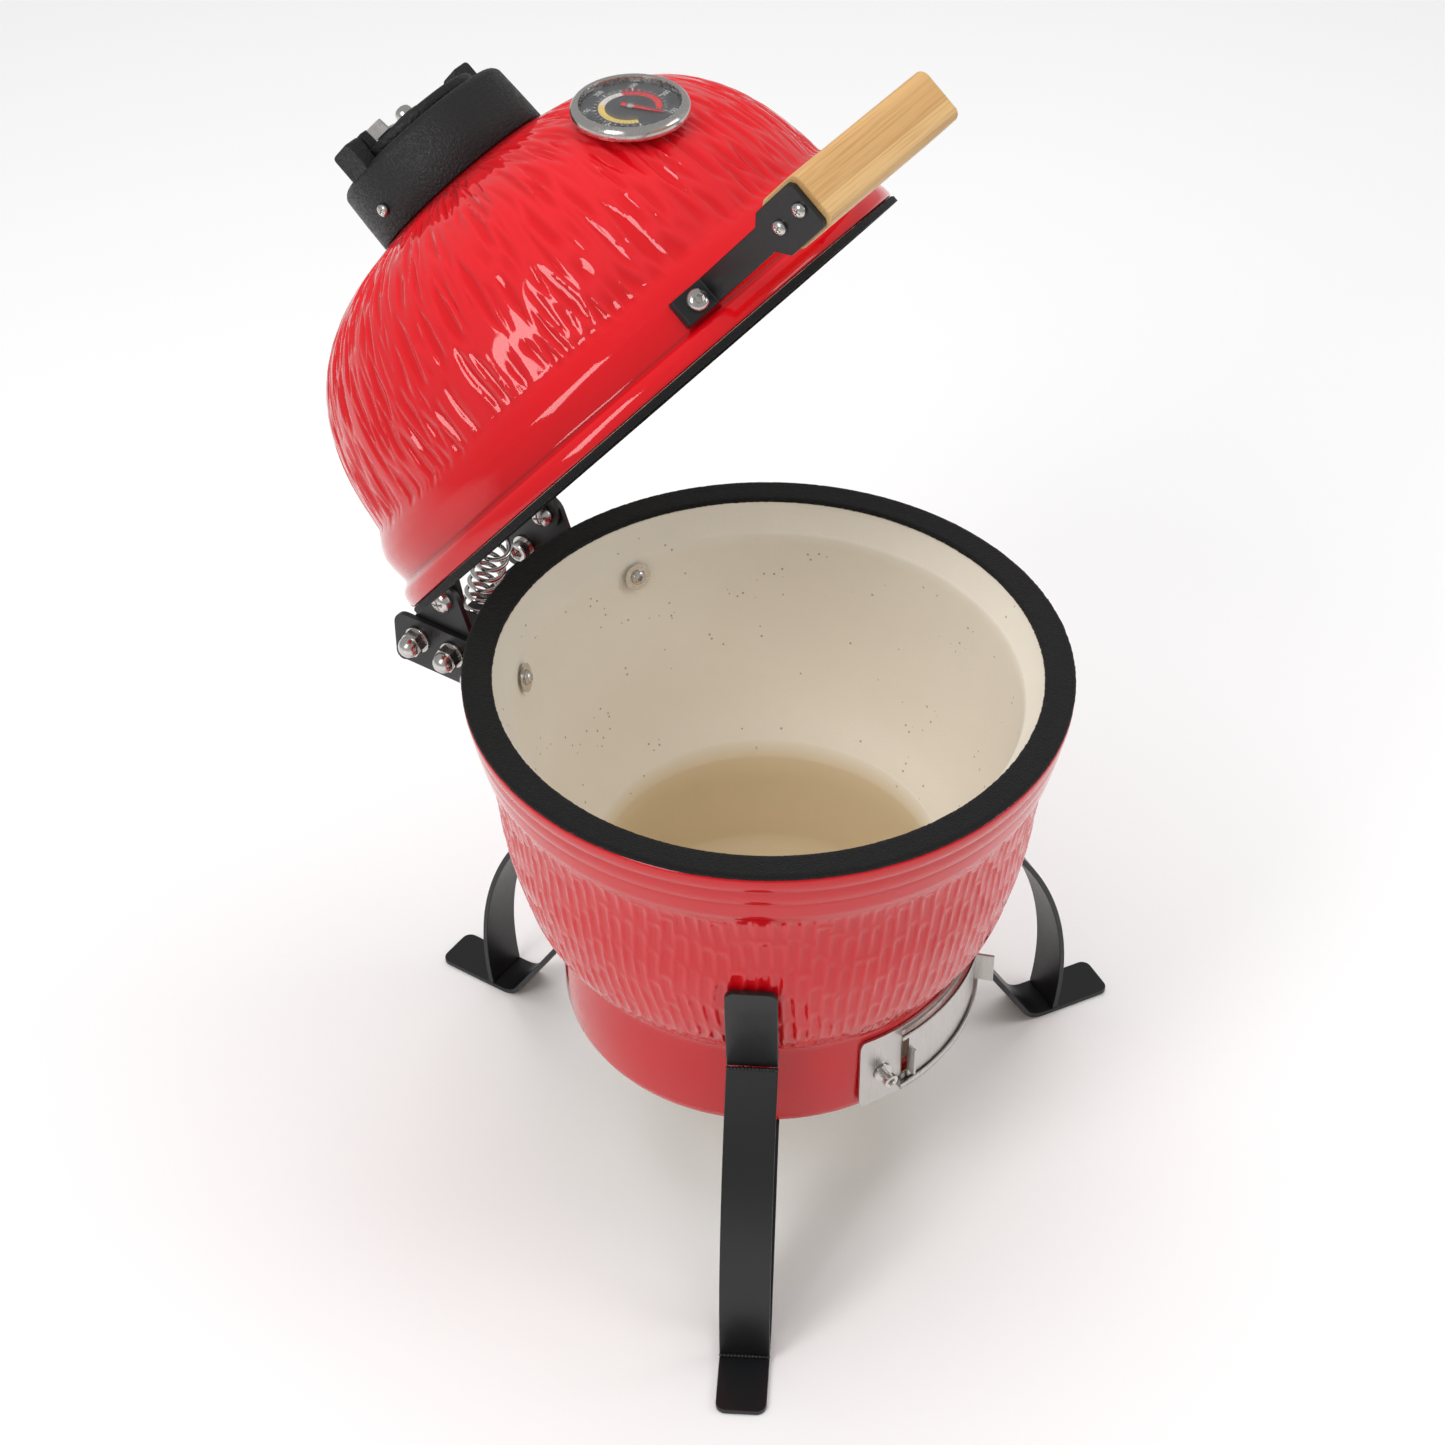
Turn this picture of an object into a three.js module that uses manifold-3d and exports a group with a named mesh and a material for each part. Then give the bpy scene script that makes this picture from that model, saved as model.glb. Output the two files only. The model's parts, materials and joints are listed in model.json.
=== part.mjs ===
// A small ceramic charcoal grill: a round bowl with a hinged domed lid, standing in a
// three-legged strap stand. Millimetres, +Z up, floor at z = 0, front towards -Y, lid hinge
// towards +Y. It is modelled as it stands with the lid open.
import * as THREE from "three";
import { mergeVertices } from "three/addons/utils/BufferGeometryUtils.js";
import Module from "manifold-3d";

const wasm = await Module();
wasm.setup();

// ---------------------------------------------------------------- driving dimensions
const gap = 0.3; // between touching pieces
const rimHeight = 426; // top of the bowl's felt above the floor
const bowlY = -50.5; // the bowl's axis, set back so that the origin is under the middle
const rimRadius = 205;
const feltWidth = 21;
const bowlFelt = 3; // thickness
const lidFelt = 5;
const bowlHeight = 293; // from the rim plane down to the underside of the base

const pivotBack = 225; // hinge pivot behind the bowl's axis
const pivotDrop = 3; // and below the rim plane
const lidOpen = 51.4; // degrees open as modelled
const armX = 58.3; // inner faces of the yoke's arms
const sheet = 4; // steel plate of the hinge and the handle brackets
const hingeBoltAngle = 23.4; // degrees each side of the back, bolts through the bowl
const hingeBoltDrop = 36;
const yokeBoltsY = [216, 246]; // behind the bowl's axis
const yokeBoltDrop = 43.5;

const chimneyRadius = 57;
const chimneyBore = 46;
const capRadius = 65.5;
const capBottom = 189; // heights on the lid are above the rim plane, with the lid shut
const capTop = 232;
const capHoles = 6;
const capHoleRadius = 9.5;
const capHoleCircle = 31;
const discRadius = 48;
const leverAngle = -156; // degrees about the lid's axis

const gaugeRadius = 155; // where the thermometer's axis meets the dome
const gaugeHeight = 143.5;
const gaugeTilt = 41; // degrees, the dial faces this far above level
const bezelRadius = 36.5;
const dialRadius = 30.8;
const needleAngle = -80; // degrees from the dial's right, as the lid is shut

const handleHalf = 69.5; // half of the bar's length
const handleFront = 295; // outer face of the bar in front of the bowl's axis
const handleDepth = 38;
const handleTall = 36;
const handleHeight = 31;
const bracketBoltAngle = 24.4; // degrees each side of the front

const doorAngle = 31; // half angle of the draft door's frame
const windowSpan = [-17.5, 12]; // degrees from the front
const panelSpan = [-16, 21.5];
const doorBoltAngle = 24.1;
const panelStop = -19; // the rails' closed end
const ringRadius = 146.3; // outside of the bowl's base
const doorTop = -225;
const doorBottom = -287;
const doorBoltZ = -260;

const strapWidth = 35;
const strapThick = 4;
const legAngles = { back: 90, front_left: -150, front_right: -30 };

// ---------------------------------------------------------------- materials
const finish = (color, roughness, metalness, extra = {}) =>
  new THREE.MeshStandardMaterial({ color, roughness, metalness, ...extra });
const redGlaze = finish(0xd4121c, 0.12, 0);
const felt = finish(0x141414, 0.95, 0);
const castIron = finish(0x232425, 0.6, 0.3);
const blackSteel = finish(0x1c1d1e, 0.5, 0.2);
const stainless = finish(0xb9b7b3, 0.3, 0.95);
const bamboo = finish(0xd09a52, 0.5, 0);
const dialBlack = finish(0x3a3b3d, 0.6, 0);
const needleRed = finish(0xd0202a, 0.5, 0);
const clearGlass = finish(0xe8eef0, 0.03, 0, { transparent: true, opacity: 0.3 });

// ---------------------------------------------------------------- shape helpers
const point = (x, y) => new THREE.Vector2(x, y);
const rad = THREE.MathUtils.degToRad;

// One closed body: vertices merged, slivers dropped, faces turned outwards.
function closed(geometry) {
  const bare = geometry.clone();
  bare.deleteAttribute("normal");
  bare.deleteAttribute("uv");
  const merged = mergeVertices(bare, 1e-3);
  const place = merged.attributes.position;
  const corner = [new THREE.Vector3(), new THREE.Vector3(), new THREE.Vector3()];
  const kept = [];
  let volume = 0;
  for (let i = 0; i < merged.index.count; i += 3) {
    const ids = [0, 1, 2].map((k) => merged.index.getX(i + k));
    if (new Set(ids).size < 3) continue;
    ids.forEach((id, k) => corner[k].fromBufferAttribute(place, id));
    volume += corner[0].dot(corner[1].cross(corner[2]));
    kept.push(ids);
  }
  merged.setIndex(kept.flatMap(([a, b, c]) => (volume < 0 ? [a, c, b] : [a, b, c])));
  return merged;
}

function toSolid(geometry) {
  const body = closed(geometry);
  return new wasm.Manifold(new wasm.Mesh({
    numProp: 3,
    vertProperties: Float32Array.from(body.attributes.position.array),
    triVerts: Uint32Array.from(body.index.array),
  }));
}

function fromSolid(solid) {
  const mesh = solid.getMesh();
  const geometry = new THREE.BufferGeometry();
  geometry.setAttribute("position", new THREE.BufferAttribute(mesh.vertProperties, 3));
  geometry.setIndex(new THREE.BufferAttribute(mesh.triVerts, 1));
  return geometry;
}

const join = (...parts) => parts.map(toSolid).reduce((a, b) => a.add(b));
const cut = (body, ...tools) => fromSolid(tools.map(toSolid).reduce((a, b) => a.subtract(b), body));
const common = (a, b) => fromSolid(toSolid(a).intersect(toSolid(b)));

// A profile of [radius, height] pairs turned about Z.
function turned(profile, segments) {
  const loop = profile.map(([r, z]) => point(r, z));
  if (profile[0][0] > 0 || profile.at(-1)[0] > 0) loop.push(loop[0].clone());
  return closed(new THREE.LatheGeometry(loop, segments).rotateX(Math.PI / 2));
}

// An outline in the plane across X, given as [y, z] pairs or a Shape, from x0 to x1.
function plateX(outline, x0, x1) {
  const shape = outline instanceof THREE.Shape
    ? outline
    : new THREE.Shape(outline.map(([y, z]) => point(y, z)));
  return new THREE.ExtrudeGeometry(shape, { depth: x1 - x0, bevelEnabled: false, curveSegments: 6 })
    .rotateX(Math.PI / 2)
    .rotateZ(Math.PI / 2)
    .translate(x0, 0, 0);
}

const block = (x0, x1, y0, y1, z0, z1) =>
  new THREE.BoxGeometry(x1 - x0, y1 - y0, z1 - z0)
    .translate((x0 + x1) / 2, (y0 + y1) / 2, (z0 + z1) / 2);

// A round bar along Z from z0 to z1.
const rod = (radius, z0, z1, segments = 16) =>
  turned([[0, z0], [radius, z0], [radius, z1], [0, z1]], segments);

// Turns a piece built along Z so that Z points level, at an angle about the bowl's axis.
const level = (geometry, angle, height) =>
  geometry.rotateY(Math.PI / 2).rotateZ(rad(angle)).translate(0, 0, height);

// A wedge of a ring about Z, between two angles, as a closed body.
function arcBlock(r0, r1, z0, z1, from, to, segments = 16) {
  const shape = new THREE.Shape();
  shape.absarc(0, 0, r1, rad(from), rad(to), false);
  shape.absarc(0, 0, r0, rad(to), rad(from), true);
  return new THREE.ExtrudeGeometry(shape,
    { depth: z1 - z0, bevelEnabled: false, curveSegments: segments }).translate(0, 0, z0);
}

const spline = (pairs, steps) =>
  new THREE.SplineCurve(pairs.map(([r, z]) => point(r, z))).getPoints(steps).map((p) => [p.x, p.y]);

const grill = new THREE.Group();

function piece(parent, name, geometry, material) {
  const mesh = new THREE.Mesh(closed(geometry), material);
  mesh.name = name;
  parent.add(mesh);
  return mesh;
}

// ---------------------------------------------------------------- bowl
const bowl = new THREE.Group();
bowl.position.set(0, bowlY, rimHeight);
grill.add(bowl);

const bowlOutside = [
  [rimRadius - 0.5, -bowlFelt - gap],
  [202.5, -15],
  ...spline([[200, -28], [195, -47], [190, -66], [186, -94], [183, -123], [176.5, -154],
    [168, -184], [157, -204]], 10),
  [148, -214],
  [ringRadius, -220],
  [ringRadius - 2, -284],
  [141, -bowlHeight],
  [120, -bowlHeight],
  [118, -bowlHeight + 5],
  [0, -bowlHeight + 5],
];
const ashFloor = -268;
const bowlInside = [
  [0, ashFloor],
  [114, ashFloor],
  [117.7, ashFloor + 5],
  [117.7, -184.5],
  ...spline([[123, -173], [138, -152], [150, -123], [159, -92], [166, -60], [171, -30]], 6),
  [172.4, -22],
  [183.7, -bowlFelt - gap],
];
const roundSegments = 44;

// The hinge bolts go square through the sloping wall, each at its angle from the back. A piece
// built along Z from the inner face is turned to lie there.
const wallSlope = 11.6;
const throughWall = (geometry, angle) => geometry.rotateY(rad(90 + wallSlope))
  .translate(168.8, 0, -hingeBoltDrop).rotateZ(rad(angle));
const bowlSolid = toSolid(turned([...bowlOutside, ...bowlInside], roundSegments));
piece(bowl, "bowl", cut(bowlSolid,
  throughWall(rod(5.5, -20, 60, 12), 90 - hingeBoltAngle),
  throughWall(rod(5.5, -20, 60, 12), 90 + hingeBoltAngle),
  arcBlock(100, 160, -274, -234, -90 + windowSpan[0] - 1, -90 + windowSpan[1] + 1, 5),
  level(rod(3.4, 125, 160, 10), -90 - doorBoltAngle, doorBoltZ),
  level(rod(3.4, 125, 160, 10), -90 + doorBoltAngle, doorBoltZ)), redGlaze);

piece(bowl, "bowl_gasket", turned([
  [rimRadius - feltWidth, -bowlFelt], [rimRadius, -bowlFelt],
  [rimRadius - 1, 0], [rimRadius - feltWidth + 1, 0]], roundSegments), felt);

// ---------------------------------------------------------------- draft door
const frameInner = ringRadius + gap;
const frameOuter = frameInner + 2;
const panelInner = frameOuter + 0.8;
const panelOuter = panelInner + 1.6;
const railLip = panelOuter + 1;
const hookedRail = (low, high, lipLow, lipHigh) => [
  arcBlock(frameOuter - 1, railLip + 1.5, low, high, -90 + panelStop, -90 + doorAngle - 3, 10),
  arcBlock(railLip, railLip + 1.5, lipLow, lipHigh, -90 + panelStop, -90 + doorAngle - 3, 10)];
const doorFrame = join(
  arcBlock(frameInner, frameOuter, doorBottom, doorTop, -90 - doorAngle, -90 + doorAngle, 16),
  ...hookedRail(-231, -229.5, -234, -229.5),
  ...hookedRail(-282, -280.5, -282, -277.5));
piece(bowl, "draft_door_frame", cut(doorFrame,
  arcBlock(140, frameOuter + 0.5, -274, -236, -90 + windowSpan[0], -90 + windowSpan[1], 6),
  level(rod(3.4, 125, 160, 10), -90 - doorBoltAngle, doorBoltZ),
  level(rod(3.4, 125, 160, 10), -90 + doorBoltAngle, doorBoltZ)), stainless);

const [panelFrom, panelTo] = panelSpan.map((angle) => angle - 90);
piece(bowl, "draft_door_panel", fromSolid(join(
  arcBlock(panelInner, panelOuter, -279.5, -232, panelFrom, panelTo, 10),
  // folded pulls at both ends of the panel
  arcBlock(panelOuter - 1, panelOuter + 14, -262, -238, panelTo - 0.7, panelTo, 1),
  arcBlock(panelOuter - 1, panelOuter + 6, -270, -246, panelFrom, panelFrom + 0.7, 1))), stainless);

// Left fixing stands proud and stops the panel; the right one is flush under it.
piece(bowl, "draft_door_bolt_left", level(turned([
  [0, 128], [3, 128], [3, frameOuter + gap], [7, frameOuter + gap], [7, frameOuter + 1.8],
  [4.5, frameOuter + 1.8], [4.5, frameOuter + 12], [0, frameOuter + 12]], 16),
  -90 - doorBoltAngle, doorBoltZ), stainless);
piece(bowl, "draft_door_bolt_right",
  level(rod(3, 128, frameOuter + 0.2), -90 + doorBoltAngle, doorBoltZ), stainless);

// ---------------------------------------------------------------- hinge on the bowl
const pivotZ = -pivotDrop;
const screwHole = (radius, y, z, x0, x1) =>
  rod(radius, x0, x1, 12).rotateY(Math.PI / 2).translate(0, y, z);

const armOutline = new THREE.Shape();
armOutline.moveTo(201, -66);
armOutline.lineTo(255, -66);
armOutline.lineTo(255, -34);
armOutline.lineTo(pivotBack + 13, pivotZ - 4);
armOutline.absarc(pivotBack, pivotZ, 13.6, rad(-17), rad(165), false);
armOutline.lineTo(201, -30);
const yokeParts = [block(-armX - 1, armX + 1, 232, 255, -66, -62)];
const yokeHoles = [];
for (const side of [-1, 1]) {
  const [x0, x1] = side < 0 ? [-armX - sheet, -armX] : [armX, armX + sheet];
  yokeParts.push(plateX(armOutline, x0, x1));
  yokeHoles.push(screwHole(4.4, pivotBack, pivotZ, x0 - 1, x1 + 1));
  for (const y of yokeBoltsY) yokeHoles.push(screwHole(5.5, y, -yokeBoltDrop, x0 - 1, x1 + 1));
}
piece(bowl, "hinge_yoke", cut(join(...yokeParts), ...yokeHoles), blackSteel);

// Base brackets: a foot curved to the bowl and a slotted flange beside the yoke's arm.
const flangeX = armX + sheet + gap;
const footInner = [[200.9, -26], [190.6, -68]];
const footBand = turned([
  footInner[0], [footInner[0][0] + sheet, -26], [footInner[1][0] + sheet, -68], footInner[1],
], 64);
const flangeOutline = new THREE.Shape();
flangeOutline.moveTo(176, -68);
flangeOutline.lineTo(258, -68);
flangeOutline.absarc(261, -63, 6, rad(-90), rad(0), false);
flangeOutline.absarc(256, -38, 11, rad(0), rad(90), false);
flangeOutline.lineTo(176, -27);
const slot = (y, z, x0, x1) => join(
  screwHole(5.5, y - 3, z, x0, x1), screwHole(5.5, y + 4, z, x0, x1),
  block(x0, x1, y - 3, y + 4, z - 5.5, z + 5.5));

for (const [side, name] of [[-1, "left"], [1, "right"]]) {
  const across = (a, b) => (side < 0 ? [-b, -a] : [a, b]);
  const foot = common(footBand, block(...across(flangeX, 98), 100, 240, -70, -20));
  const flange = plateX(flangeOutline, ...across(flangeX, flangeX + sheet));
  let bracket = join(foot, flange);
  for (const y of yokeBoltsY) {
    bracket = bracket.subtract(slot(y, -yokeBoltDrop, ...across(flangeX - 1, flangeX + sheet + 1)));
  }
  // the flange stops short of the glazed wall
  bracket = bracket.subtract(toSolid(turned([
    [0, -80], [188, -80], footInner[1], footInner[0], [203, -18], [0, -18]], 64)));
  const angle = 90 - side * hingeBoltAngle;
  bracket = bracket.subtract(toSolid(throughWall(rod(4.6, 0, 60, 12), angle)));
  piece(bowl, `base_bracket_${name}`, fromSolid(bracket), blackSteel);

  // Bolt through the bowl: button head and wide washer inside, dome nut outside.
  piece(bowl, `bowl_bolt_${name}`, throughWall(turned([
    [0, -6.4], [3.5, -6], [5.5, -4.2], [5.5, -2.8], [10, -2.8], [10, -1.3], [4, -1.3],
    [4, 33.9], [7, 33.9], [7, 39.5], [5, 44], [0, 45.5]], 16), angle), stainless);

  // Yoke bolts: socket heads inside the yoke, washers and dome nuts outside.
  yokeBoltsY.forEach((y, i) => {
    const place = (geometry) => {
      if (side < 0) geometry.rotateY(-Math.PI / 2);
      else geometry.rotateY(Math.PI / 2);
      return geometry.translate(0, y, -yokeBoltDrop);
    };
    piece(bowl, `yoke_bolt_${name}_${i + 1}`, place(turned([
      [0, armX - 10], [7.5, armX - 10], [7.5, armX - 1.9], [9.5, armX - 1.9], [9.5, armX - gap],
      [4.8, armX - gap], [4.8, flangeX + sheet], [0, flangeX + sheet]], 16)), stainless);
    const seat = flangeX + sheet + gap;
    piece(bowl, `dome_nut_${name}_${i + 1}`, place(fromSolid(join(
      rod(10, seat, seat + 2, 16),
      rod(9.2, seat + 1.5, seat + 9.5, 6),
      turned([[0, seat + 9], [8, seat + 9], [7.6, seat + 12.5], [5.2, seat + 16.4],
        [0, seat + 18]], 12)))), stainless);
  });
}

// ---------------------------------------------------------------- lid, modelled shut, hung open
const hinge = new THREE.Group();
hinge.position.set(0, bowlY + pivotBack, rimHeight + pivotZ);
hinge.rotation.x = -rad(lidOpen);
grill.add(hinge);
const lid = new THREE.Group();
lid.position.set(0, -pivotBack, -pivotZ);
hinge.add(lid);

// Dome: |r/a|^3 + |z/b|^3 = 1, between two heights.
const dome = (a, b, z0, z1, steps) => Array.from({ length: steps + 1 }, (_, i) => {
  const z = z0 + (z1 - z0) * Math.sin((i / steps) * (Math.PI / 2));
  return [a * Math.cbrt(1 - (z / b) ** 3), z];
});
const lidRim = lidFelt + gap;
const lidOutside = [
  [rimRadius - 3, lidRim], [rimRadius - 3, 11], [200, 17], [194.6, 21.5], [195.2, 40], [191, 49.5],
  ...dome(187.3, 189.6, 58, 182.5, 9),
  [72, 186], [capRadius - 2, 188.4], [chimneyRadius, 188.4], [chimneyRadius, 222],
];
const lidInside = [
  [chimneyBore, 222], [chimneyBore, 170],
  ...dome(163.5, 165, 162.5, 40, 8),
  [170, 28], [183.7, lidRim],
];
const throughLid = (radius, angle, height) => level(rod(radius, 150, 215, 12), angle, height);
const gaugeAxis = (geometry) =>
  geometry.rotateX(rad(90 - gaugeTilt)).translate(0, -gaugeRadius, gaugeHeight);
const bracketBoltZ = 31.5;
const lidBoltAngle = 10.5; // each side of the back
const lidBoltZ = 33.5;
piece(lid, "lid", cut(toSolid(turned([...lidOutside, ...lidInside], roundSegments)),
  gaugeAxis(rod(5, -40, 10, 12)),
  throughLid(4.6, -90 - bracketBoltAngle, bracketBoltZ),
  throughLid(4.6, -90 + bracketBoltAngle, bracketBoltZ),
  throughLid(4.6, 90 - lidBoltAngle, lidBoltZ),
  throughLid(4.6, 90 + lidBoltAngle, lidBoltZ)), redGlaze);

piece(lid, "lid_gasket", turned([
  [rimRadius - feltWidth + 1, gap], [rimRadius - 3, gap],
  [rimRadius - 2, lidFelt], [rimRadius - feltWidth, lidFelt]], roundSegments), felt);

// ---------------------------------------------------------------- hinge on the lid
const bandPlate = common(turned([
  [195.8, 42], [199.3, 42], [199.3, 26], [206.5, 19], [206.5, 3], [203, 3], [203, 17.4],
  [195.8, 22.5]], 64), block(-armX + gap, armX - gap, 100, 240, 0, 50));
const earOutline = new THREE.Shape();
earOutline.moveTo(190, 42);
earOutline.lineTo(206, 42);
earOutline.lineTo(pivotBack + 9, pivotZ + 9);
earOutline.absarc(pivotBack, pivotZ, 12.5, rad(45), rad(-150), true);
earOutline.lineTo(204, 3);
earOutline.lineTo(204, 18);
earOutline.lineTo(190, 24);
const earParts = [bandPlate];
for (const side of [-1, 1]) {
  const outer = side * (armX - gap);
  const inner = side * (armX - gap - sheet);
  earParts.push(plateX(earOutline, Math.min(outer, inner), Math.max(outer, inner)));
}
piece(lid, "lid_hinge_bracket", cut(join(...earParts),
  screwHole(4.4, pivotBack, pivotZ, -armX - 1, armX + 1),
  turned([[0, 0], [203.4, 0], [203.4, 6], [202.5, 6.2], [202.5, 17.2], [195.6, 22.3],
    [195.6, 60], [0, 60]], 64),
  throughLid(4.6, 90 - lidBoltAngle, lidBoltZ),
  throughLid(4.6, 90 + lidBoltAngle, lidBoltZ)), blackSteel);

for (const [side, name] of [[-1, "left"], [1, "right"]]) {
  // Bolt through the lid: button head outside, nut and washer inside.
  piece(lid, `lid_hinge_bolt_${name}`, level(turned([
    [0, 153], [7, 153], [7, 159.4], [10, 159.4], [10, 160.9], [4, 160.9], [4, 199.6], [7, 199.6],
    [7, 201.5], [4, 204], [0, 204.4]], 16), 90 - side * lidBoltAngle, lidBoltZ), stainless);

  // Pivot screws, both put in from the left: the heads lie outside the left arm and inside
  // the right ear.
  const head = side < 0 ? armX + sheet + gap : -(armX - gap - sheet - gap);
  const tip = side < 0 ? head - 10.6 : head - 10.9;
  piece(bowl, `pivot_screw_${name}`, turned([
    [0, tip], [4, tip], [4, head], [8.5, head], [8.5, head + 2], [7, head + 2],
    [6.2, head + 5], [3, head + 6.5], [0, head + 6.8]], 16)
    .rotateY(-Math.PI / 2).translate(0, pivotBack, pivotZ), stainless);
}

// ---------------------------------------------------------------- hinge spring
// A compression spring between the yoke's web and the lid bracket, as the lid stands open.
const springWire = 1.7;
const springRadius = 10.8;
const springTurns = 6.5;
const springFoot = new THREE.Vector3(0, 246, -62 + springWire + gap);
const springTop = new THREE.Vector3(0, 225, 10);
const springSteps = 78;
const springLine = new THREE.CatmullRomCurve3(Array.from({ length: springSteps + 1 }, (_, i) => {
  const turn = (i / springSteps) * springTurns * 2 * Math.PI;
  const along = springTop.clone().sub(springFoot);
  const lean = Math.atan2(along.y, along.z);
  return new THREE.Vector3(springRadius * Math.cos(turn), springRadius * Math.sin(turn),
    (along.length() * i) / springSteps).applyAxisAngle(new THREE.Vector3(1, 0, 0), -lean).add(springFoot);
}));
const wireShape = new THREE.Shape();
wireShape.absarc(0, 0, springWire, 0, 2 * Math.PI);
piece(bowl, "hinge_spring", new THREE.ExtrudeGeometry(wireShape,
  { steps: springSteps, curveSegments: 3, extrudePath: springLine }), stainless);

// ---------------------------------------------------------------- chimney cap and its vent
const holesRound = (z0, z1) => Array.from({ length: capHoles }, (_, i) =>
  rod(capHoleRadius, z0, z1, 14).translate(capHoleCircle, 0, 0).rotateZ((i * 2 * Math.PI) / capHoles));
const capShell = turned([
  [0, capTop - 6], [chimneyRadius + gap + 1, capTop - 6], [chimneyRadius + gap + 1, capBottom],
  [capRadius, capBottom], [capRadius - 1.5, capTop - 4], [capRadius - 5, capTop], [0, capTop]], 36);
piece(lid, "vent_cap", cut(join(capShell,
  block(52, 62, -10, 10, capTop - 2, capTop + 19),
  block(-62, -52, -10, 10, capTop - 2, capTop + 19)),
  ...holesRound(capTop - 10, capTop + 1),
  rod(3.3, capTop - 10, capTop + 1, 12),
  level(rod(2.8, -capRadius - 1, -chimneyRadius, 10), 0, 205)), castIron);

const discBottom = capTop + gap;
const discTop = discBottom + 8;
const hubTop = discTop + 5;
piece(lid, "vent_disc", cut(join(
  turned([[0, discBottom], [discRadius, discBottom], [discRadius, discTop - 2],
    [discRadius - 2, discTop], [12, discTop], [11, hubTop], [0, hubTop]], 36),
  block(-46.5, -39, -8, 8, discTop - 1, capTop + 19)),
  ...holesRound(discBottom - 1, discTop + 1),
  rod(3.3, discBottom - 1, hubTop + 1, 12)), castIron);

const lever = plateX([[13, 0], [44, 0], [46, 7], [47.8, 7], [46, -1.6], [13, -1.6]], -6, 6)
  .rotateZ(rad(leverAngle - 90)).translate(0, 0, discTop + gap + 1.6);
piece(lid, "vent_lever", lever, stainless);

piece(lid, "vent_pivot_screw", turned([
  [0, capTop - 8], [3, capTop - 8], [3, hubTop + gap], [6, hubTop + gap], [6, hubTop + 3],
  [4.5, hubTop + 5.5], [0, hubTop + 6]], 16), stainless);

piece(lid, "vent_set_screw", level(turned([
  [0, -capRadius - 3], [3, -capRadius - 2.6], [4.3, -capRadius - 0.4], [2.5, -capRadius - 0.4],
  [2.5, -chimneyRadius - gap - 0.2], [0, -chimneyRadius - gap - 0.2]], 14), 0, 205), stainless);

// ---------------------------------------------------------------- thermometer
const gauge = (name, geometry, material) => piece(lid, name, gaugeAxis(geometry), material);
const dialFloor = 4;
gauge("thermometer_case", turned([
  [0, 1.2], [bezelRadius - 1.5, 1.2], [bezelRadius, 2.6], [bezelRadius, 6.8],
  [bezelRadius - 2, 9.8], [dialRadius + gap, 9.8], [dialRadius + gap, dialFloor], [0, dialFloor],
], 32), stainless);
gauge("thermometer_dial", rod(dialRadius, dialFloor + gap, dialFloor + 1.1, 32), dialBlack);
gauge("thermometer_lens", rod(dialRadius, 8.1, 9.5, 32), clearGlass);

const needleShape = new THREE.Shape();
needleShape.moveTo(-6, -1.6);
needleShape.lineTo(2, -1.6);
needleShape.lineTo(22, -0.5);
needleShape.lineTo(22, 0.5);
needleShape.lineTo(2, 1.6);
needleShape.lineTo(-6, 1.6);
const needleZ = dialFloor + 1.9;
gauge("thermometer_needle", fromSolid(join(
  new THREE.ExtrudeGeometry(needleShape, { depth: 0.6, bevelEnabled: false }).translate(0, 0, needleZ),
  rod(2.6, needleZ - 0.4, needleZ + 1.2, 12))).rotateZ(rad(needleAngle)), needleRed);

gauge("thermometer_stem", turned([
  [0, -106], [1.6, -105], [2.2, -102], [2.2, -46], [4.4, -46], [4.4, 0.9], [0, 0.9]], 14), stainless);
gauge("thermometer_nut", turned([[5.4, -42], [10, -42], [10, -35], [5.4, -35]], 6), stainless);

// ---------------------------------------------------------------- handle
const bracketX = handleHalf + gap;
const barInner = handleFront - handleDepth;
const barShape = new THREE.Shape();
const barRound = 6;
const barLow = handleHeight - handleTall / 2;
const barHigh = handleHeight + handleTall / 2;
barShape.absarc(-handleFront + barRound, barLow + barRound, barRound, rad(180), rad(270), false);
barShape.absarc(-barInner - barRound, barLow + barRound, barRound, rad(270), rad(360), false);
barShape.absarc(-barInner - barRound, barHigh - barRound, barRound, rad(0), rad(90), false);
barShape.absarc(-handleFront + barRound, barHigh - barRound, barRound, rad(90), rad(180), false);
const screwsY = [-barInner - 6, -barInner - 26.5];
const pilotHoles = screwsY.flatMap((y) => [-1, 1].map((side) =>
  screwHole(2.4, y, handleHeight, side < 0 ? -80 : 42, side < 0 ? -42 : 80)));
piece(lid, "handle_bar", cut(toSolid(plateX(barShape, -handleHalf, handleHalf)), ...pilotHoles), bamboo);

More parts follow.
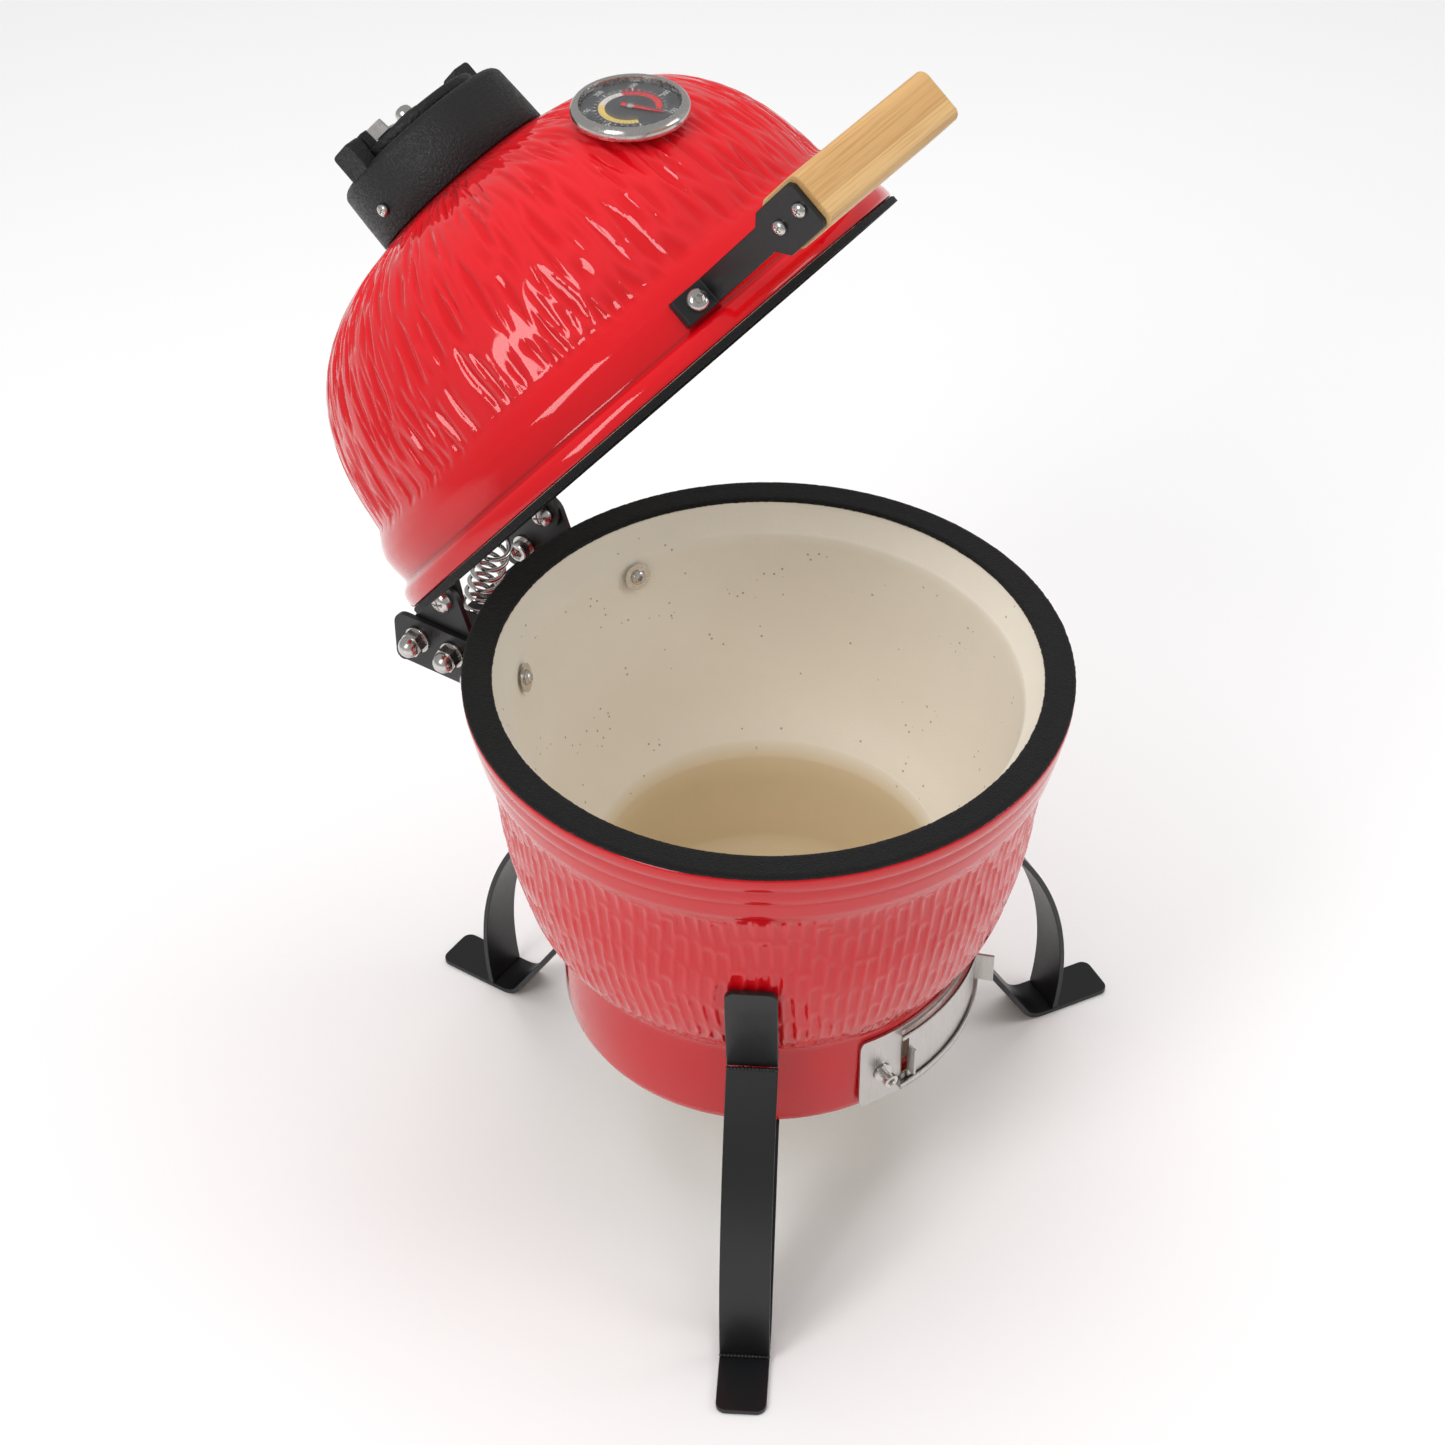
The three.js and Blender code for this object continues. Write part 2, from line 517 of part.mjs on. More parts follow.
// Bracket: a tab curved to the lid's band, bent into an arm with a wide head on the bar's end.
const armLow = handleHeight - 8.5;
const armHigh = handleHeight + 9.5;
const headLow = handleHeight - 16.5;
const headHigh = handleHeight + 15.5;
const bracketOutline = [
  [-184, armLow], [-247, armLow], [-255, headLow], [-288, headLow], [-291, headLow + 3],
  [-291, headHigh - 3], [-288, headHigh], [-255, headHigh], [-247, armHigh], [-184, armHigh],
];
const tabBand = turned([[195.6, armLow], [199.6, armLow], [199.6, armHigh], [195.6, armHigh]], 72);
for (const [side, name] of [[-1, "left"], [1, "right"]]) {
  const across = (a, b) => (side < 0 ? [-b, -a] : [a, b]);
  const tab = common(tabBand, block(...across(bracketX, 94), -240, -100, 0, 60));
  const angle = -90 + side * bracketBoltAngle;
  piece(lid, `handle_bracket_${name}`, cut(join(tab, plateX(bracketOutline,
    ...across(bracketX, bracketX + sheet))),
    throughLid(4.6, angle, bracketBoltZ),
    ...screwsY.map((y) => screwHole(2.6, y, handleHeight, ...across(bracketX - 1, bracketX + 6)))),
    blackSteel);

  piece(lid, `bracket_bolt_${name}`, level(turned([
    [0, 154], [4, 154], [4, 199.9], [7, 199.9], [7, 201.8], [4, 204.4], [0, 204.8]], 16),
    angle, bracketBoltZ), stainless);
  piece(lid, `bracket_nut_${name}`, level(turned([
    [4.3, 152.5], [7.6, 152.5], [7.6, 159.4], [11, 159.4], [11, 160.9], [4.3, 160.9]], 12),
    angle, bracketBoltZ), stainless);

  screwsY.forEach((y, i) => {
    const seat = bracketX + sheet + gap;
    piece(lid, `handle_screw_${name}_${i + 1}`, turned([
      [0, seat - 28], [2.1, seat - 26], [2.1, seat], [4.6, seat], [4.2, seat + 2], [2, seat + 3.2],
      [0, seat + 3.4]], 12)
      .rotateY(side * Math.PI / 2).translate(0, y, handleHeight), stainless);
  });
}

// ---------------------------------------------------------------- stand
// Each leg: a hook lying on the bowl, a bowed strap down to the foot, and a foot strap that
// runs on up to the base and in under it to the hub.
const baseTop = rimHeight - bowlHeight - gap; // the bowl rests here
const stand = new THREE.Group();
stand.position.set(0, bowlY, 0);
grill.add(stand);

const archRadius = 225;
const archCentre = [18.5, 43];
const footInnerEnd = 221;
const footOuterEnd = 291;
const strutTop = 147;
const weldR = 166;
const weldZ = rimHeight - 213;

// A strap across the leg's plane: an outline of [radius, height] pairs, strapWidth wide.
function strap(outline) {
  return plateX(outline, -strapWidth / 2, strapWidth / 2);
}

// The same line moved out to one side by the strap's thickness, mitred at every bend so that
// each length keeps its full thickness and the foot's sole is level.
const across = (a, b) => point(b[1] - a[1], a[0] - b[0]).normalize();

function thickened(line) {
  const side = line.map((p, i) => {
    const before = i > 0 ? across(line[i - 1], p) : across(p, line[i + 1]);
    const after = i < line.length - 1 ? across(p, line[i + 1]) : before;
    const reach = strapThick / (1 + before.dot(after));
    return [p[0] + (before.x + after.x) * reach, p[1] + (before.y + after.y) * reach];
  });
  return [...line, ...side.reverse()];
}

const hookLine = [
  [weldR - 3.5, weldZ + 2], [175.6, rimHeight - 165], [182.6, rimHeight - 136],
  [185.2, rimHeight - 120]];
const archLine = Array.from({ length: 13 }, (_, i) => {
  const start = Math.atan2(weldZ - 1.5 - archCentre[1], weldR - archCentre[0]);
  const end = Math.asin((strapThick + 2 * gap - archCentre[1]) / archRadius);
  const angle = start + ((end - start) * i) / 12;
  return [archCentre[0] + archRadius * Math.cos(angle), archCentre[1] + archRadius * Math.sin(angle)];
});
const footLine = [[24.3, baseTop], [strutTop - 2, baseTop], [footInnerEnd + 2, strapThick],
  [footOuterEnd, strapThick]];

for (const [name, angle] of Object.entries(legAngles)) {
  const leg = new THREE.Group();
  leg.rotation.z = rad(angle - 90);
  stand.add(leg);
  piece(leg, `leg_hook_${name}`, strap(thickened(hookLine)), blackSteel);
  piece(leg, `leg_strap_${name}`, strap(thickened(archLine.toReversed())), blackSteel);
  piece(leg, `foot_strap_${name}`, strap(thickened(footLine)), blackSteel);
}

piece(stand, "stand_hub", rod(24, baseTop - strapThick, baseTop, 24), blackSteel);

export default grill;
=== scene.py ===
# %% [markdown]
# # A small ceramic charcoal grill
#
# The grill is an egg of thick fired clay in two halves. The bowl stands in a three-legged strap
# stand, and the domed lid is hung open on a sprung hinge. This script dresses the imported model:
# each cell makes a few pieces or finishes, in metres, in the model's own frame.

# %% Load the frame
import json
import math

import bmesh
import bpy
from mathutils import Matrix, Vector, noise


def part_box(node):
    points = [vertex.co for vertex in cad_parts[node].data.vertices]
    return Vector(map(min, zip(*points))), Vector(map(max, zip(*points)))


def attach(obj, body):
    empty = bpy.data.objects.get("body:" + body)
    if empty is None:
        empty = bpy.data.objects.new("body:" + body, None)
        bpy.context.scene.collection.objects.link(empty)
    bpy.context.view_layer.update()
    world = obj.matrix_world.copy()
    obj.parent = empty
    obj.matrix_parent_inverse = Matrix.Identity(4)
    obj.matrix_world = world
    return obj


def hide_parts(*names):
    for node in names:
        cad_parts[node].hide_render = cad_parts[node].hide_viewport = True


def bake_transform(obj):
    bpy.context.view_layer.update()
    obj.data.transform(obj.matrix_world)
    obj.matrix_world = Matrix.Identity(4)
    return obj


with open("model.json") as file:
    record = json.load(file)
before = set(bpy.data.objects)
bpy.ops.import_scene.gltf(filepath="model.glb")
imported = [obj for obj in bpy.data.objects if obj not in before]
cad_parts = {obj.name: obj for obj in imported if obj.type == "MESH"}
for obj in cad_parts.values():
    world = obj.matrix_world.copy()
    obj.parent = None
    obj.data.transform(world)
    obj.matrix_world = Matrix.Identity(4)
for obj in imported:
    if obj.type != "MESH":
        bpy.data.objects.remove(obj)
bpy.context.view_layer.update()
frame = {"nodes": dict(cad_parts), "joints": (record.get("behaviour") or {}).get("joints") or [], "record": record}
mm = 0.001
print("pieces in the frame:", len(frame["nodes"]))

# %% [markdown]
# ## Where things are
#
# The bowl's felt gives the rim's height and the middle of the bowl, and the hinge joint gives the
# pivot. Small pieces repeat the model's own driving dimensions, in millimetres. The lid's pieces
# are easiest to make with the lid shut, in a frame whose origin is the middle of the rim, so one
# matrix hangs them open afterwards.

# %% Frames of the bowl, the lid and the thermometer
felt_low, felt_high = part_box("bowl_gasket")
rim_middle = Vector(((felt_low.x + felt_high.x) / 2, (felt_low.y + felt_high.y) / 2, felt_high.z))
hinge_joint = next(joint for joint in frame["joints"] if joint["name"] == "lid_hinge")
pivot = Vector(hinge_joint["pos_m"])
open_angle = math.radians(hinge_joint["range_deg"][1])

bowl_place = Matrix.Translation(rim_middle)
stand_place = Matrix.Translation((0, rim_middle.y, 0))
lid_place = (Matrix.Translation(pivot) @ Matrix.Rotation(-open_angle, 4, "X")
             @ Matrix.Translation(rim_middle - pivot))
gauge_out, gauge_up, gauge_tilt = 155, 143.5, 41
gauge_place = (lid_place @ Matrix.Translation((0, -gauge_out * mm, gauge_up * mm))
               @ Matrix.Rotation(math.radians(90 - gauge_tilt), 4, "X"))
print("rim", rim_middle, "pivot", pivot)

# %% [markdown]
# ## Camera, light and floor
#
# The grill is looked down into from its left front. A glossy glaze mirrors whatever is round it,
# so a white world would veil the red. The world is kept grey and a wide overhead lamp whitens the
# floor without showing in the glaze. A soft box on the left draws the highlights, and a weak
# one on the right fills in.

# %% Camera
camera_away = Vector((-1.4143, -0.9114, 1.4094))
camera_turn, camera_down, camera_roll = 33.84, 40.95, -0.14
lens = 82.0

camera_data = bpy.data.cameras.new("camera")
camera_data.lens = lens
camera_data.sensor_width = 36
camera_data.clip_end = 50
camera = bpy.data.objects.new("camera", camera_data)
bpy.context.scene.collection.objects.link(camera)
camera.matrix_world = (Matrix.Translation(rim_middle + camera_away)
                       @ Matrix.Rotation(math.radians(camera_turn - 90), 4, "Z")
                       @ Matrix.Rotation(math.radians(90 - camera_down), 4, "X")
                       @ Matrix.Rotation(math.radians(camera_roll), 4, "Z"))
bpy.context.scene.camera = camera
print("camera at", camera.matrix_world.translation, "lens", lens, "mm")

# %% Lights
world = bpy.data.worlds.new("grey studio")
bpy.context.scene.world = world
world.use_nodes = True
world.node_tree.nodes["Background"].inputs["Color"].default_value = (1, 1, 1, 1)
world.node_tree.nodes["Background"].inputs["Strength"].default_value = 0.42


def soft_box(name, place, target, size, watts):
    lamp = bpy.data.lights.new(name, "AREA")
    lamp.shape = "RECTANGLE"
    lamp.size, lamp.size_y = size
    lamp.energy = watts
    holder = bpy.data.objects.new(name, lamp)
    bpy.context.scene.collection.objects.link(holder)
    holder.location = place
    holder.rotation_euler = (Vector(target) - Vector(place)).to_track_quat("-Z", "Y").to_euler()
    return holder


overhead = soft_box("overhead lamp", (0.3, 0.3, 3.2), (0, 0, 0), (3.2, 3.2), 66)
overhead.visible_glossy = False
soft_box("soft box left", (-2.1, 0.2, 2.2), (0, 0, 0.5), (0.8, 1.5), 24)
soft_box("soft box right", (1.4, -2.2, 1.8), (0, 0, 0.4), (1.2, 1.2), 12)
bpy.context.scene.view_settings.view_transform = "Standard"

# %% [markdown]
# ## Helpers for shapes
#
# Almost every piece is either turned, like a pot on a wheel, or cut from sheet. A turned piece is
# a line of points spun round the Z axis by bmesh's spin. A sheet piece is one face pushed to its
# thickness. Rounding the edges afterwards is what makes a piece catch the light like a real one.

# %% Shape helpers
def new_piece(name, bm, place, material, smooth=40, sheet_side=False):
    """A finished object from a bmesh in millimetres, with its place put into its mesh. An open
    sheet keeps the side it faces. A name that a CAD node has already gets an ending."""
    name = name.replace(" ", "_")
    if name in bpy.data.objects:
        name += "_made"
    if not sheet_side:
        bmesh.ops.recalc_face_normals(bm, faces=bm.faces)
    mesh = bpy.data.meshes.new(name)
    bm.to_mesh(mesh)
    bm.free()
    mesh.transform(place @ Matrix.Scale(mm, 4))
    mesh.materials.append(material)
    mesh.polygons.foreach_set("use_smooth", [True] * len(mesh.polygons))
    mesh.set_sharp_from_angle(angle=math.radians(smooth))
    piece = bpy.data.objects.new(name, mesh)
    bpy.context.scene.collection.objects.link(piece)
    return piece


def chain(bm, points, closed=False):
    """Joins points given as (radius, height) with edges, in the XZ plane."""
    verts = [bm.verts.new((radius, 0, height)) for radius, height in points]
    pairs = list(zip(verts, verts[1:])) + ([(verts[-1], verts[0])] if closed else [])
    return verts + [bm.edges.new(pair) for pair in pairs]


def spun(points, steps=48, closed=False, start=0.0, end=360.0, bm=None):
    """A bmesh of the line of points, spun about Z from one angle to another, in degrees."""
    bm = bm or bmesh.new()
    line = chain(bm, points, closed)
    verts = [item for item in line if isinstance(item, bmesh.types.BMVert)]
    bmesh.ops.rotate(bm, verts=verts, matrix=Matrix.Rotation(math.radians(start), 3, "Z"))
    full = abs(end - start) >= 360
    bmesh.ops.spin(bm, geom=line, axis=(0, 0, 1), cent=(0, 0, 0), steps=steps,
                   angle=math.radians(end - start), use_merge=full)
    bmesh.ops.remove_doubles(bm, verts=bm.verts, dist=1e-4)
    if not full:
        rims = [edge for edge in bm.edges if len(edge.link_faces) < 2]
        bmesh.ops.holes_fill(bm, edges=rims, sides=0)
    return bm


def turned(name, points, place, material, steps=48, closed=False, smooth=40):
    return new_piece(name, spun(points, steps, closed), place, material, smooth)


def box(bm, low, high):
    """Adds a box between two corners."""
    low, high = Vector(low), Vector(high)
    made = bmesh.ops.create_cube(bm, size=1)
    bmesh.ops.scale(bm, verts=made["verts"], vec=high - low)
    bmesh.ops.translate(bm, verts=made["verts"], vec=(low + high) / 2)
    return made["verts"]


def round_edges(bm, edges, radius, segments=2):
    bmesh.ops.bevel(bm, geom=edges, offset=radius, segments=segments, profile=0.5,
                    affect="EDGES", material=-1)


def curve_through(points, per_span):
    """Points on a smooth curve that passes through the given ones."""
    ends = [points[0]] + list(points) + [points[-1]]
    out = []
    for a, b, c, d in zip(ends, ends[1:], ends[2:], ends[3:]):
        for i in range(per_span):
            t = i / per_span
            out.append(tuple(0.5 * (2 * q + (r - p) * t + (2 * p - 5 * q + 4 * r - s) * t * t
                                    + (3 * q - p - 3 * r + s) * t ** 3)
                             for p, q, r, s in zip(a, b, c, d)))
    return out + [tuple(points[-1])]


def carved(piece, *tools):
    """Cuts the tools, closed pieces, out of a piece, and removes them."""
    for tool in tools:
        cut = piece.modifiers.new("cut", "BOOLEAN")
        cut.operation, cut.solver, cut.object = "DIFFERENCE", "EXACT", tool
    shaped = piece.evaluated_get(bpy.context.evaluated_depsgraph_get())
    mesh = bpy.data.meshes.new_from_object(shaped)
    if len(mesh.polygons) in (0, len(piece.data.polygons)):
        raise ValueError(f"the cut in {piece.name} left {len(mesh.polygons)} faces")
    piece.modifiers.clear()
    piece.data = mesh
    for tool in tools:
        bpy.data.objects.remove(tool)
    return piece


def rounded(piece, width, segments=2, angle=35):
    """Gives a piece's sharp edges a small radius."""
    soft = piece.modifiers.new("rounded", "BEVEL")
    soft.width = width * mm
    soft.segments = segments
    soft.limit_method = "ANGLE"
    soft.angle_limit = math.radians(angle)
    soft.harden_normals = True
    return piece


def from_node(name, node, material, width, segments=2):
    """A copy of a model node with its flat faces made whole and its edges rounded."""
    bm = bmesh.new()
    bm.from_mesh(frame["nodes"][node].data)
    bmesh.ops.remove_doubles(bm, verts=bm.verts, dist=1e-5)
    bmesh.ops.dissolve_limit(bm, angle_limit=math.radians(1), verts=bm.verts, edges=bm.edges)
    bmesh.ops.scale(bm, verts=bm.verts, vec=(1 / mm,) * 3)
    return rounded(new_piece(name, bm, Matrix(), material), width, segments)


def level(angle, height=0.0):
    """Turns a piece built along Z to point level, at an angle about the bowl's axis."""
    return (Matrix.Rotation(math.radians(angle), 4, "Z") @ Matrix.Translation((0, 0, height * mm))
            @ Matrix.Rotation(math.pi / 2, 4, "Y"))


def add(piece, body, slot, *nodes):
    """Puts a finished piece on its body, in place of the model's nodes."""
    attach(piece, body)
    if nodes:
        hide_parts(*nodes)
    return piece


print("shape helpers made")


# %% [markdown]
# ## Helpers for finishes
#
# A finish is a Principled shader with a few textures in front of it. Fine surface grain is used
# by most of them, so it is a node group, built once and given its own scale and strength.

# %% Finish helpers
def finish(name, color, roughness, metallic=0.0, **sockets):
    material = bpy.data.materials.new(name)
    material.use_nodes = True
    shader = material.node_tree.nodes["Principled BSDF"]
    shader.inputs["Base Color"].default_value = (*color, 1)
    shader.inputs["Roughness"].default_value = roughness
    shader.inputs["Metallic"].default_value = metallic
    for socket, value in sockets.items():
        shader.inputs[socket.replace("_", " ")].default_value = value
    material.diffuse_color = (*color, 1)
    return material


class Wiring:
    """Adds nodes to a node tree and joins them up."""

    def __init__(self, tree):
        self.tree = tree
        self.nodes = tree.nodes

    def node(self, kind, **settings):
        made = self.nodes.new(kind)
        for key, value in settings.items():
            setattr(made, key, value)
        return made

    def feed(self, socket, value):
        if isinstance(value, bpy.types.NodeSocket):
            self.tree.links.new(value, socket)
        else:
            socket.default_value = value

    def math(self, operation, a, b=0.0, clamp=False):
        made = self.node("ShaderNodeMath", operation=operation, use_clamp=clamp)
        self.feed(made.inputs[0], a)
        self.feed(made.inputs[1], b)
        return made.outputs[0]

    def mix(self, factor, a, b, blend="MIX"):
        made = self.node("ShaderNodeMix", data_type="RGBA", blend_type=blend)
        self.feed(made.inputs["Factor"], factor)
        self.feed(made.inputs["A"], a if isinstance(a, bpy.types.NodeSocket) else (*a, 1))
        self.feed(made.inputs["B"], b if isinstance(b, bpy.types.NodeSocket) else (*b, 1))
        return made.outputs["Result"]

    def ramp(self, value, low, high, low_out=0.0, high_out=1.0):
        made = self.node("ShaderNodeMapRange", interpolation_type="SMOOTHSTEP")
        for socket, item in zip(("Value", "From Min", "From Max", "To Min", "To Max"),
                                (value, low, high, low_out, high_out)):
            self.feed(made.inputs[socket], item)
        return made.outputs["Result"]

    def noise(self, vector, scale, detail=3.0, roughness=0.55):
        made = self.node("ShaderNodeTexNoise")
        self.feed(made.inputs["Vector"], vector)
        self.feed(made.inputs["Scale"], scale)
        self.feed(made.inputs["Detail"], detail)
        self.feed(made.inputs["Roughness"], roughness)
        return made.outputs["Fac"]

    def place(self, matrix=None, scale=(1, 1, 1)):
        """Object coordinates, seen in the frame of a matrix and then stretched."""
        coords = self.node("ShaderNodeTexCoord").outputs["Object"]
        if matrix is not None:
            seen = self.node("ShaderNodeMapping", vector_type="TEXTURE")
            self.feed(seen.inputs["Vector"], coords)
            seen.inputs["Location"].default_value = matrix.to_translation()
            seen.inputs["Rotation"].default_value = matrix.to_euler()
            coords = seen.outputs["Vector"]
        if scale != (1, 1, 1):
            stretch = self.node("ShaderNodeMapping")
            self.feed(stretch.inputs["Vector"], coords)
            stretch.inputs["Scale"].default_value = scale
            coords = stretch.outputs["Vector"]
        return coords

    def attribute(self, name):
        return self.node("ShaderNodeAttribute", attribute_name=name).outputs["Fac"]


def wiring(material):
    wires = Wiring(material.node_tree)
    wires.shader = material.node_tree.nodes["Principled BSDF"]
    return wires


def surface_grain_group():
    """Fine bumps of one size, as a normal, and a mask of the same bumps."""
    group = bpy.data.node_groups.new("surface grain", "ShaderNodeTree")
    for name, kind in (("Scale", "NodeSocketFloat"), ("Strength", "NodeSocketFloat"),
                       ("Distance", "NodeSocketFloat")):
        group.interface.new_socket(name, in_out="INPUT", socket_type=kind)
    group.interface.new_socket("Normal", in_out="OUTPUT", socket_type="NodeSocketVector")
    group.interface.new_socket("Mask", in_out="OUTPUT", socket_type="NodeSocketFloat")
    wires = Wiring(group)
    asked = wires.node("NodeGroupInput")
    given = wires.node("NodeGroupOutput")
    grain = wires.noise(wires.place(), asked.outputs["Scale"], 2.0, 0.6)
    bump = wires.node("ShaderNodeBump")
    wires.feed(bump.inputs["Height"], grain)
    wires.feed(bump.inputs["Strength"], asked.outputs["Strength"])
    wires.feed(bump.inputs["Distance"], asked.outputs["Distance"])
    wires.feed(given.inputs["Normal"], bump.outputs["Normal"])
    wires.feed(given.inputs["Mask"], grain)
    return group


surface_grain = surface_grain_group()


def grained(material, scale, strength, distance_mm, rough_range=None):
    """Puts the surface grain on a finish: its normal, and if asked a change of roughness."""
    wires = wiring(material)
    grain = wires.node("ShaderNodeGroup", node_tree=surface_grain)
    grain.inputs["Scale"].default_value = scale
    grain.inputs["Strength"].default_value = strength
    grain.inputs["Distance"].default_value = distance_mm * mm
    wires.feed(wires.shader.inputs["Normal"], grain.outputs["Normal"])
    if rough_range:
        wires.feed(wires.shader.inputs["Roughness"],
                   wires.ramp(grain.outputs["Mask"], 0.35, 0.65, *rough_range))
    return material


print("finish helpers made")


# %% [markdown]
# ## The red glaze
#
# The glaze is a thick red glass over the clay. Its colour is painted a lighter red on the ridges of
# the pressed pattern, a painted highlight, and nearly wine red in the grooves and creases, painted
# shade. The mesh carries both masks as attributes, "ridge" for the highlight and one for the shade,
# written when it is shaped.

# %% Glaze
def red_glaze_finish():
    glaze = finish("red glaze", (0.62, 0.003, 0.008), 0.07, Coat_Weight=0.15, Coat_Roughness=0.02,
                   Specular_IOR_Level=0.42)
    wires = wiring(glaze)
    tone = wires.noise(wires.place(), 9.0, 2.0)
    body = wires.mix(tone, (0.56, 0.002, 0.006), (0.68, 0.004, 0.010))
    # painted highlight: the ridge mask mixes in a lighter red where the ridges would catch the light
    ridge = wires.mix(wires.math("MULTIPLY", wires.attribute("ridge"), 0.35), body,
                      (0.80, 0.030, 0.040))
    # painted shade: the crease mask darkens the red nearly to wine in the grooves and creases
    crease_shaded = wires.mix(wires.attribute("crease_shade"), ridge, (0.22, 0.001, 0.003))
    wires.feed(wires.shader.inputs["Base Color"], crease_shaded)
    ripple = wires.node("ShaderNodeBump")
    wires.feed(ripple.inputs["Height"], wires.noise(wires.place(), 60.0, 1.0))
    ripple.inputs["Strength"].default_value = 0.12
    ripple.inputs["Distance"].default_value = 1.5 * mm
    wires.feed(wires.shader.inputs["Normal"], ripple.outputs["Normal"])
    return glaze


def bare_clay_finish():
    """Unglazed cream clay with a few dark specks, browner below the ledge: painted shade of the deep ash chamber
    with some brown tint.
    """
    clay = finish("bare clay", (0.80, 0.70, 0.55), 0.85)
    wires = wiring(clay)
    coords = wires.place()
    tone = wires.mix(wires.noise(coords, 30.0), (0.88, 0.81, 0.70), (0.91, 0.85, 0.75))
    specks = wires.node("ShaderNodeTexVoronoi", feature="F1")
    wires.feed(specks.inputs["Vector"], coords)
    specks.inputs["Scale"].default_value = 150.0
    rare = wires.math("GREATER_THAN", wires.noise(coords, 37.0, 0.0), 0.62)
    dot = wires.math("MULTIPLY", wires.math("LESS_THAN", specks.outputs["Distance"], 0.13), rare)
    speckled = wires.mix(wires.math("MULTIPLY", dot, 0.55), tone, (0.16, 0.09, 0.05))
    # painted shade: below the ledge the clay is mixed to a darker tan for the deep chamber, together with some
    # brown tint
    chamber_shade_and_tint = wires.mix(wires.attribute("chamber"), speckled, (0.80, 0.67, 0.47))
    wires.feed(wires.shader.inputs["Base Color"], chamber_shade_and_tint)
    grain = wires.node("ShaderNodeGroup", node_tree=surface_grain)
    grain.inputs["Scale"].default_value = 700.0
    grain.inputs["Strength"].default_value = 0.35
    grain.inputs["Distance"].default_value = 0.4 * mm
    wires.feed(wires.shader.inputs["Normal"], grain.outputs["Normal"])
    return clay


red_glaze = red_glaze_finish()
bare_clay = bare_clay_finish()
print("finishes:", red_glaze.name, bare_clay.name)

# %% [markdown]
# ## Other finishes
#
# The felt is black and swallows light. The castings have a fine sandy skin under black paint, and
# the straps a smoother powder coat. Fasteners, spring and draft door are stainless.

# %% Plain finishes
felt = grained(finish("black felt", (0.0035, 0.0035, 0.004), 1.0, Sheen_Weight=0.05,
                      Sheen_Roughness=0.6), 900.0, 1.0, 1.2)
cast_iron = grained(finish("black casting", (0.008, 0.008, 0.0085), 0.5), 620.0, 0.9, 0.9, (0.38, 0.62))
black_steel = grained(finish("black powder coat", (0.0075, 0.008, 0.009), 0.42), 1400.0, 0.25, 0.25,
                      (0.32, 0.46))
stainless = grained(finish("stainless", (0.62, 0.60, 0.575), 0.22, 1.0), 260.0, 0.05, 0.2,
                    (0.16, 0.30))
spring_steel = finish("spring steel", (0.66, 0.65, 0.63), 0.12, 1.0)
clear_glass = finish("gauge glass", (1, 1, 1), 0.02, Transmission_Weight=1.0, IOR=1.45)
clear_glass.node_tree.nodes["Principled BSDF"].inputs["Alpha"].default_value = 0.12
needle_red = finish("needle red", (0.62, 0.012, 0.016), 0.4)
pale_print = finish("pale print", (0.62, 0.62, 0.60), 0.5)


def door_sheet_finish():
    """Stainless sheet with a brushed grain that runs up and down the base."""
    sheet = finish("brushed door sheet", (0.56, 0.54, 0.515), 0.33, 1.0)
    wires = wiring(sheet)
    streaks = wires.noise(wires.place(bowl_place, (900, 900, 40)), 1.0, 2.0)
    wires.feed(wires.shader.inputs["Roughness"], wires.ramp(streaks, 0.3, 0.7, 0.26, 0.42))
    bump = wires.node("ShaderNodeBump")
    wires.feed(bump.inputs["Height"], streaks)
    bump.inputs["Strength"].default_value = 0.08
    bump.inputs["Distance"].default_value = 0.1 * mm
    wires.feed(wires.shader.inputs["Normal"], bump.outputs["Normal"])
    return sheet


door_sheet = door_sheet_finish()
print("finishes:", felt.name, cast_iron.name, black_steel.name, stainless.name)

# %% [markdown]
# ## Pressed pattern
#
# The clay is pressed before it is glazed. The lid has long pointed gouges that run down from the
# chimney: cells of Voronoi noise, drawn out along the dome. The bowl has upright tiles with round
# tops, in columns that start at different heights. Both are real depth in the mesh, because they
# show in the outline and in every highlight.

# %% Pattern helpers
def smoothstep(low, high, value):
    t = min(max((value - low) / (high - low), 0.0), 1.0)
    return t * t * (3 - 2 * t)


def gouge(co, along):
    """How deep, and how near a ridge, a point of the lid is; along is its way down the dome."""
    gouges_round, gouge_length = 138, 44
    ring = gouges_round / (2 * math.pi * math.hypot(co.x, co.y))
    bend = 0.16 * noise.noise(co * 0.03)
    near, _ = noise.voronoi(Vector((co.x * ring + bend, co.y * ring - bend, along / gouge_length)))
    open_part = smoothstep(0.0, 0.5, near[1] - near[0])
    return open_part, 1 - open_part


def tile(co):
    """How deep, and how near a ridge, a point of the bowl is."""
    columns, width, tall = 128, 9.0, 31.0
    turn = math.atan2(co.y, co.x) / (2 * math.pi) * columns + 0.5 * noise.noise(co * 0.018)
    column = math.floor(turn)
    across = turn - column
    up = co.z / tall + noise.cell(Vector((column % columns + 0.5, 0.5, 7.5)))
    rise = up - math.floor(up)
    shoulder = width / 2 - math.sqrt(max(0.0, (width / 2) ** 2 - ((across - 0.5) * width) ** 2))
    reach = max(0.0, min(min(across, 1 - across) * width, (1 - rise) * tall - shoulder))
    ridge = (1 - smoothstep(0.2, 2.3, reach)) * smoothstep(0.02, 0.4, rise)
    return (1 - ridge) * (0.4 + 0.6 * rise), ridge


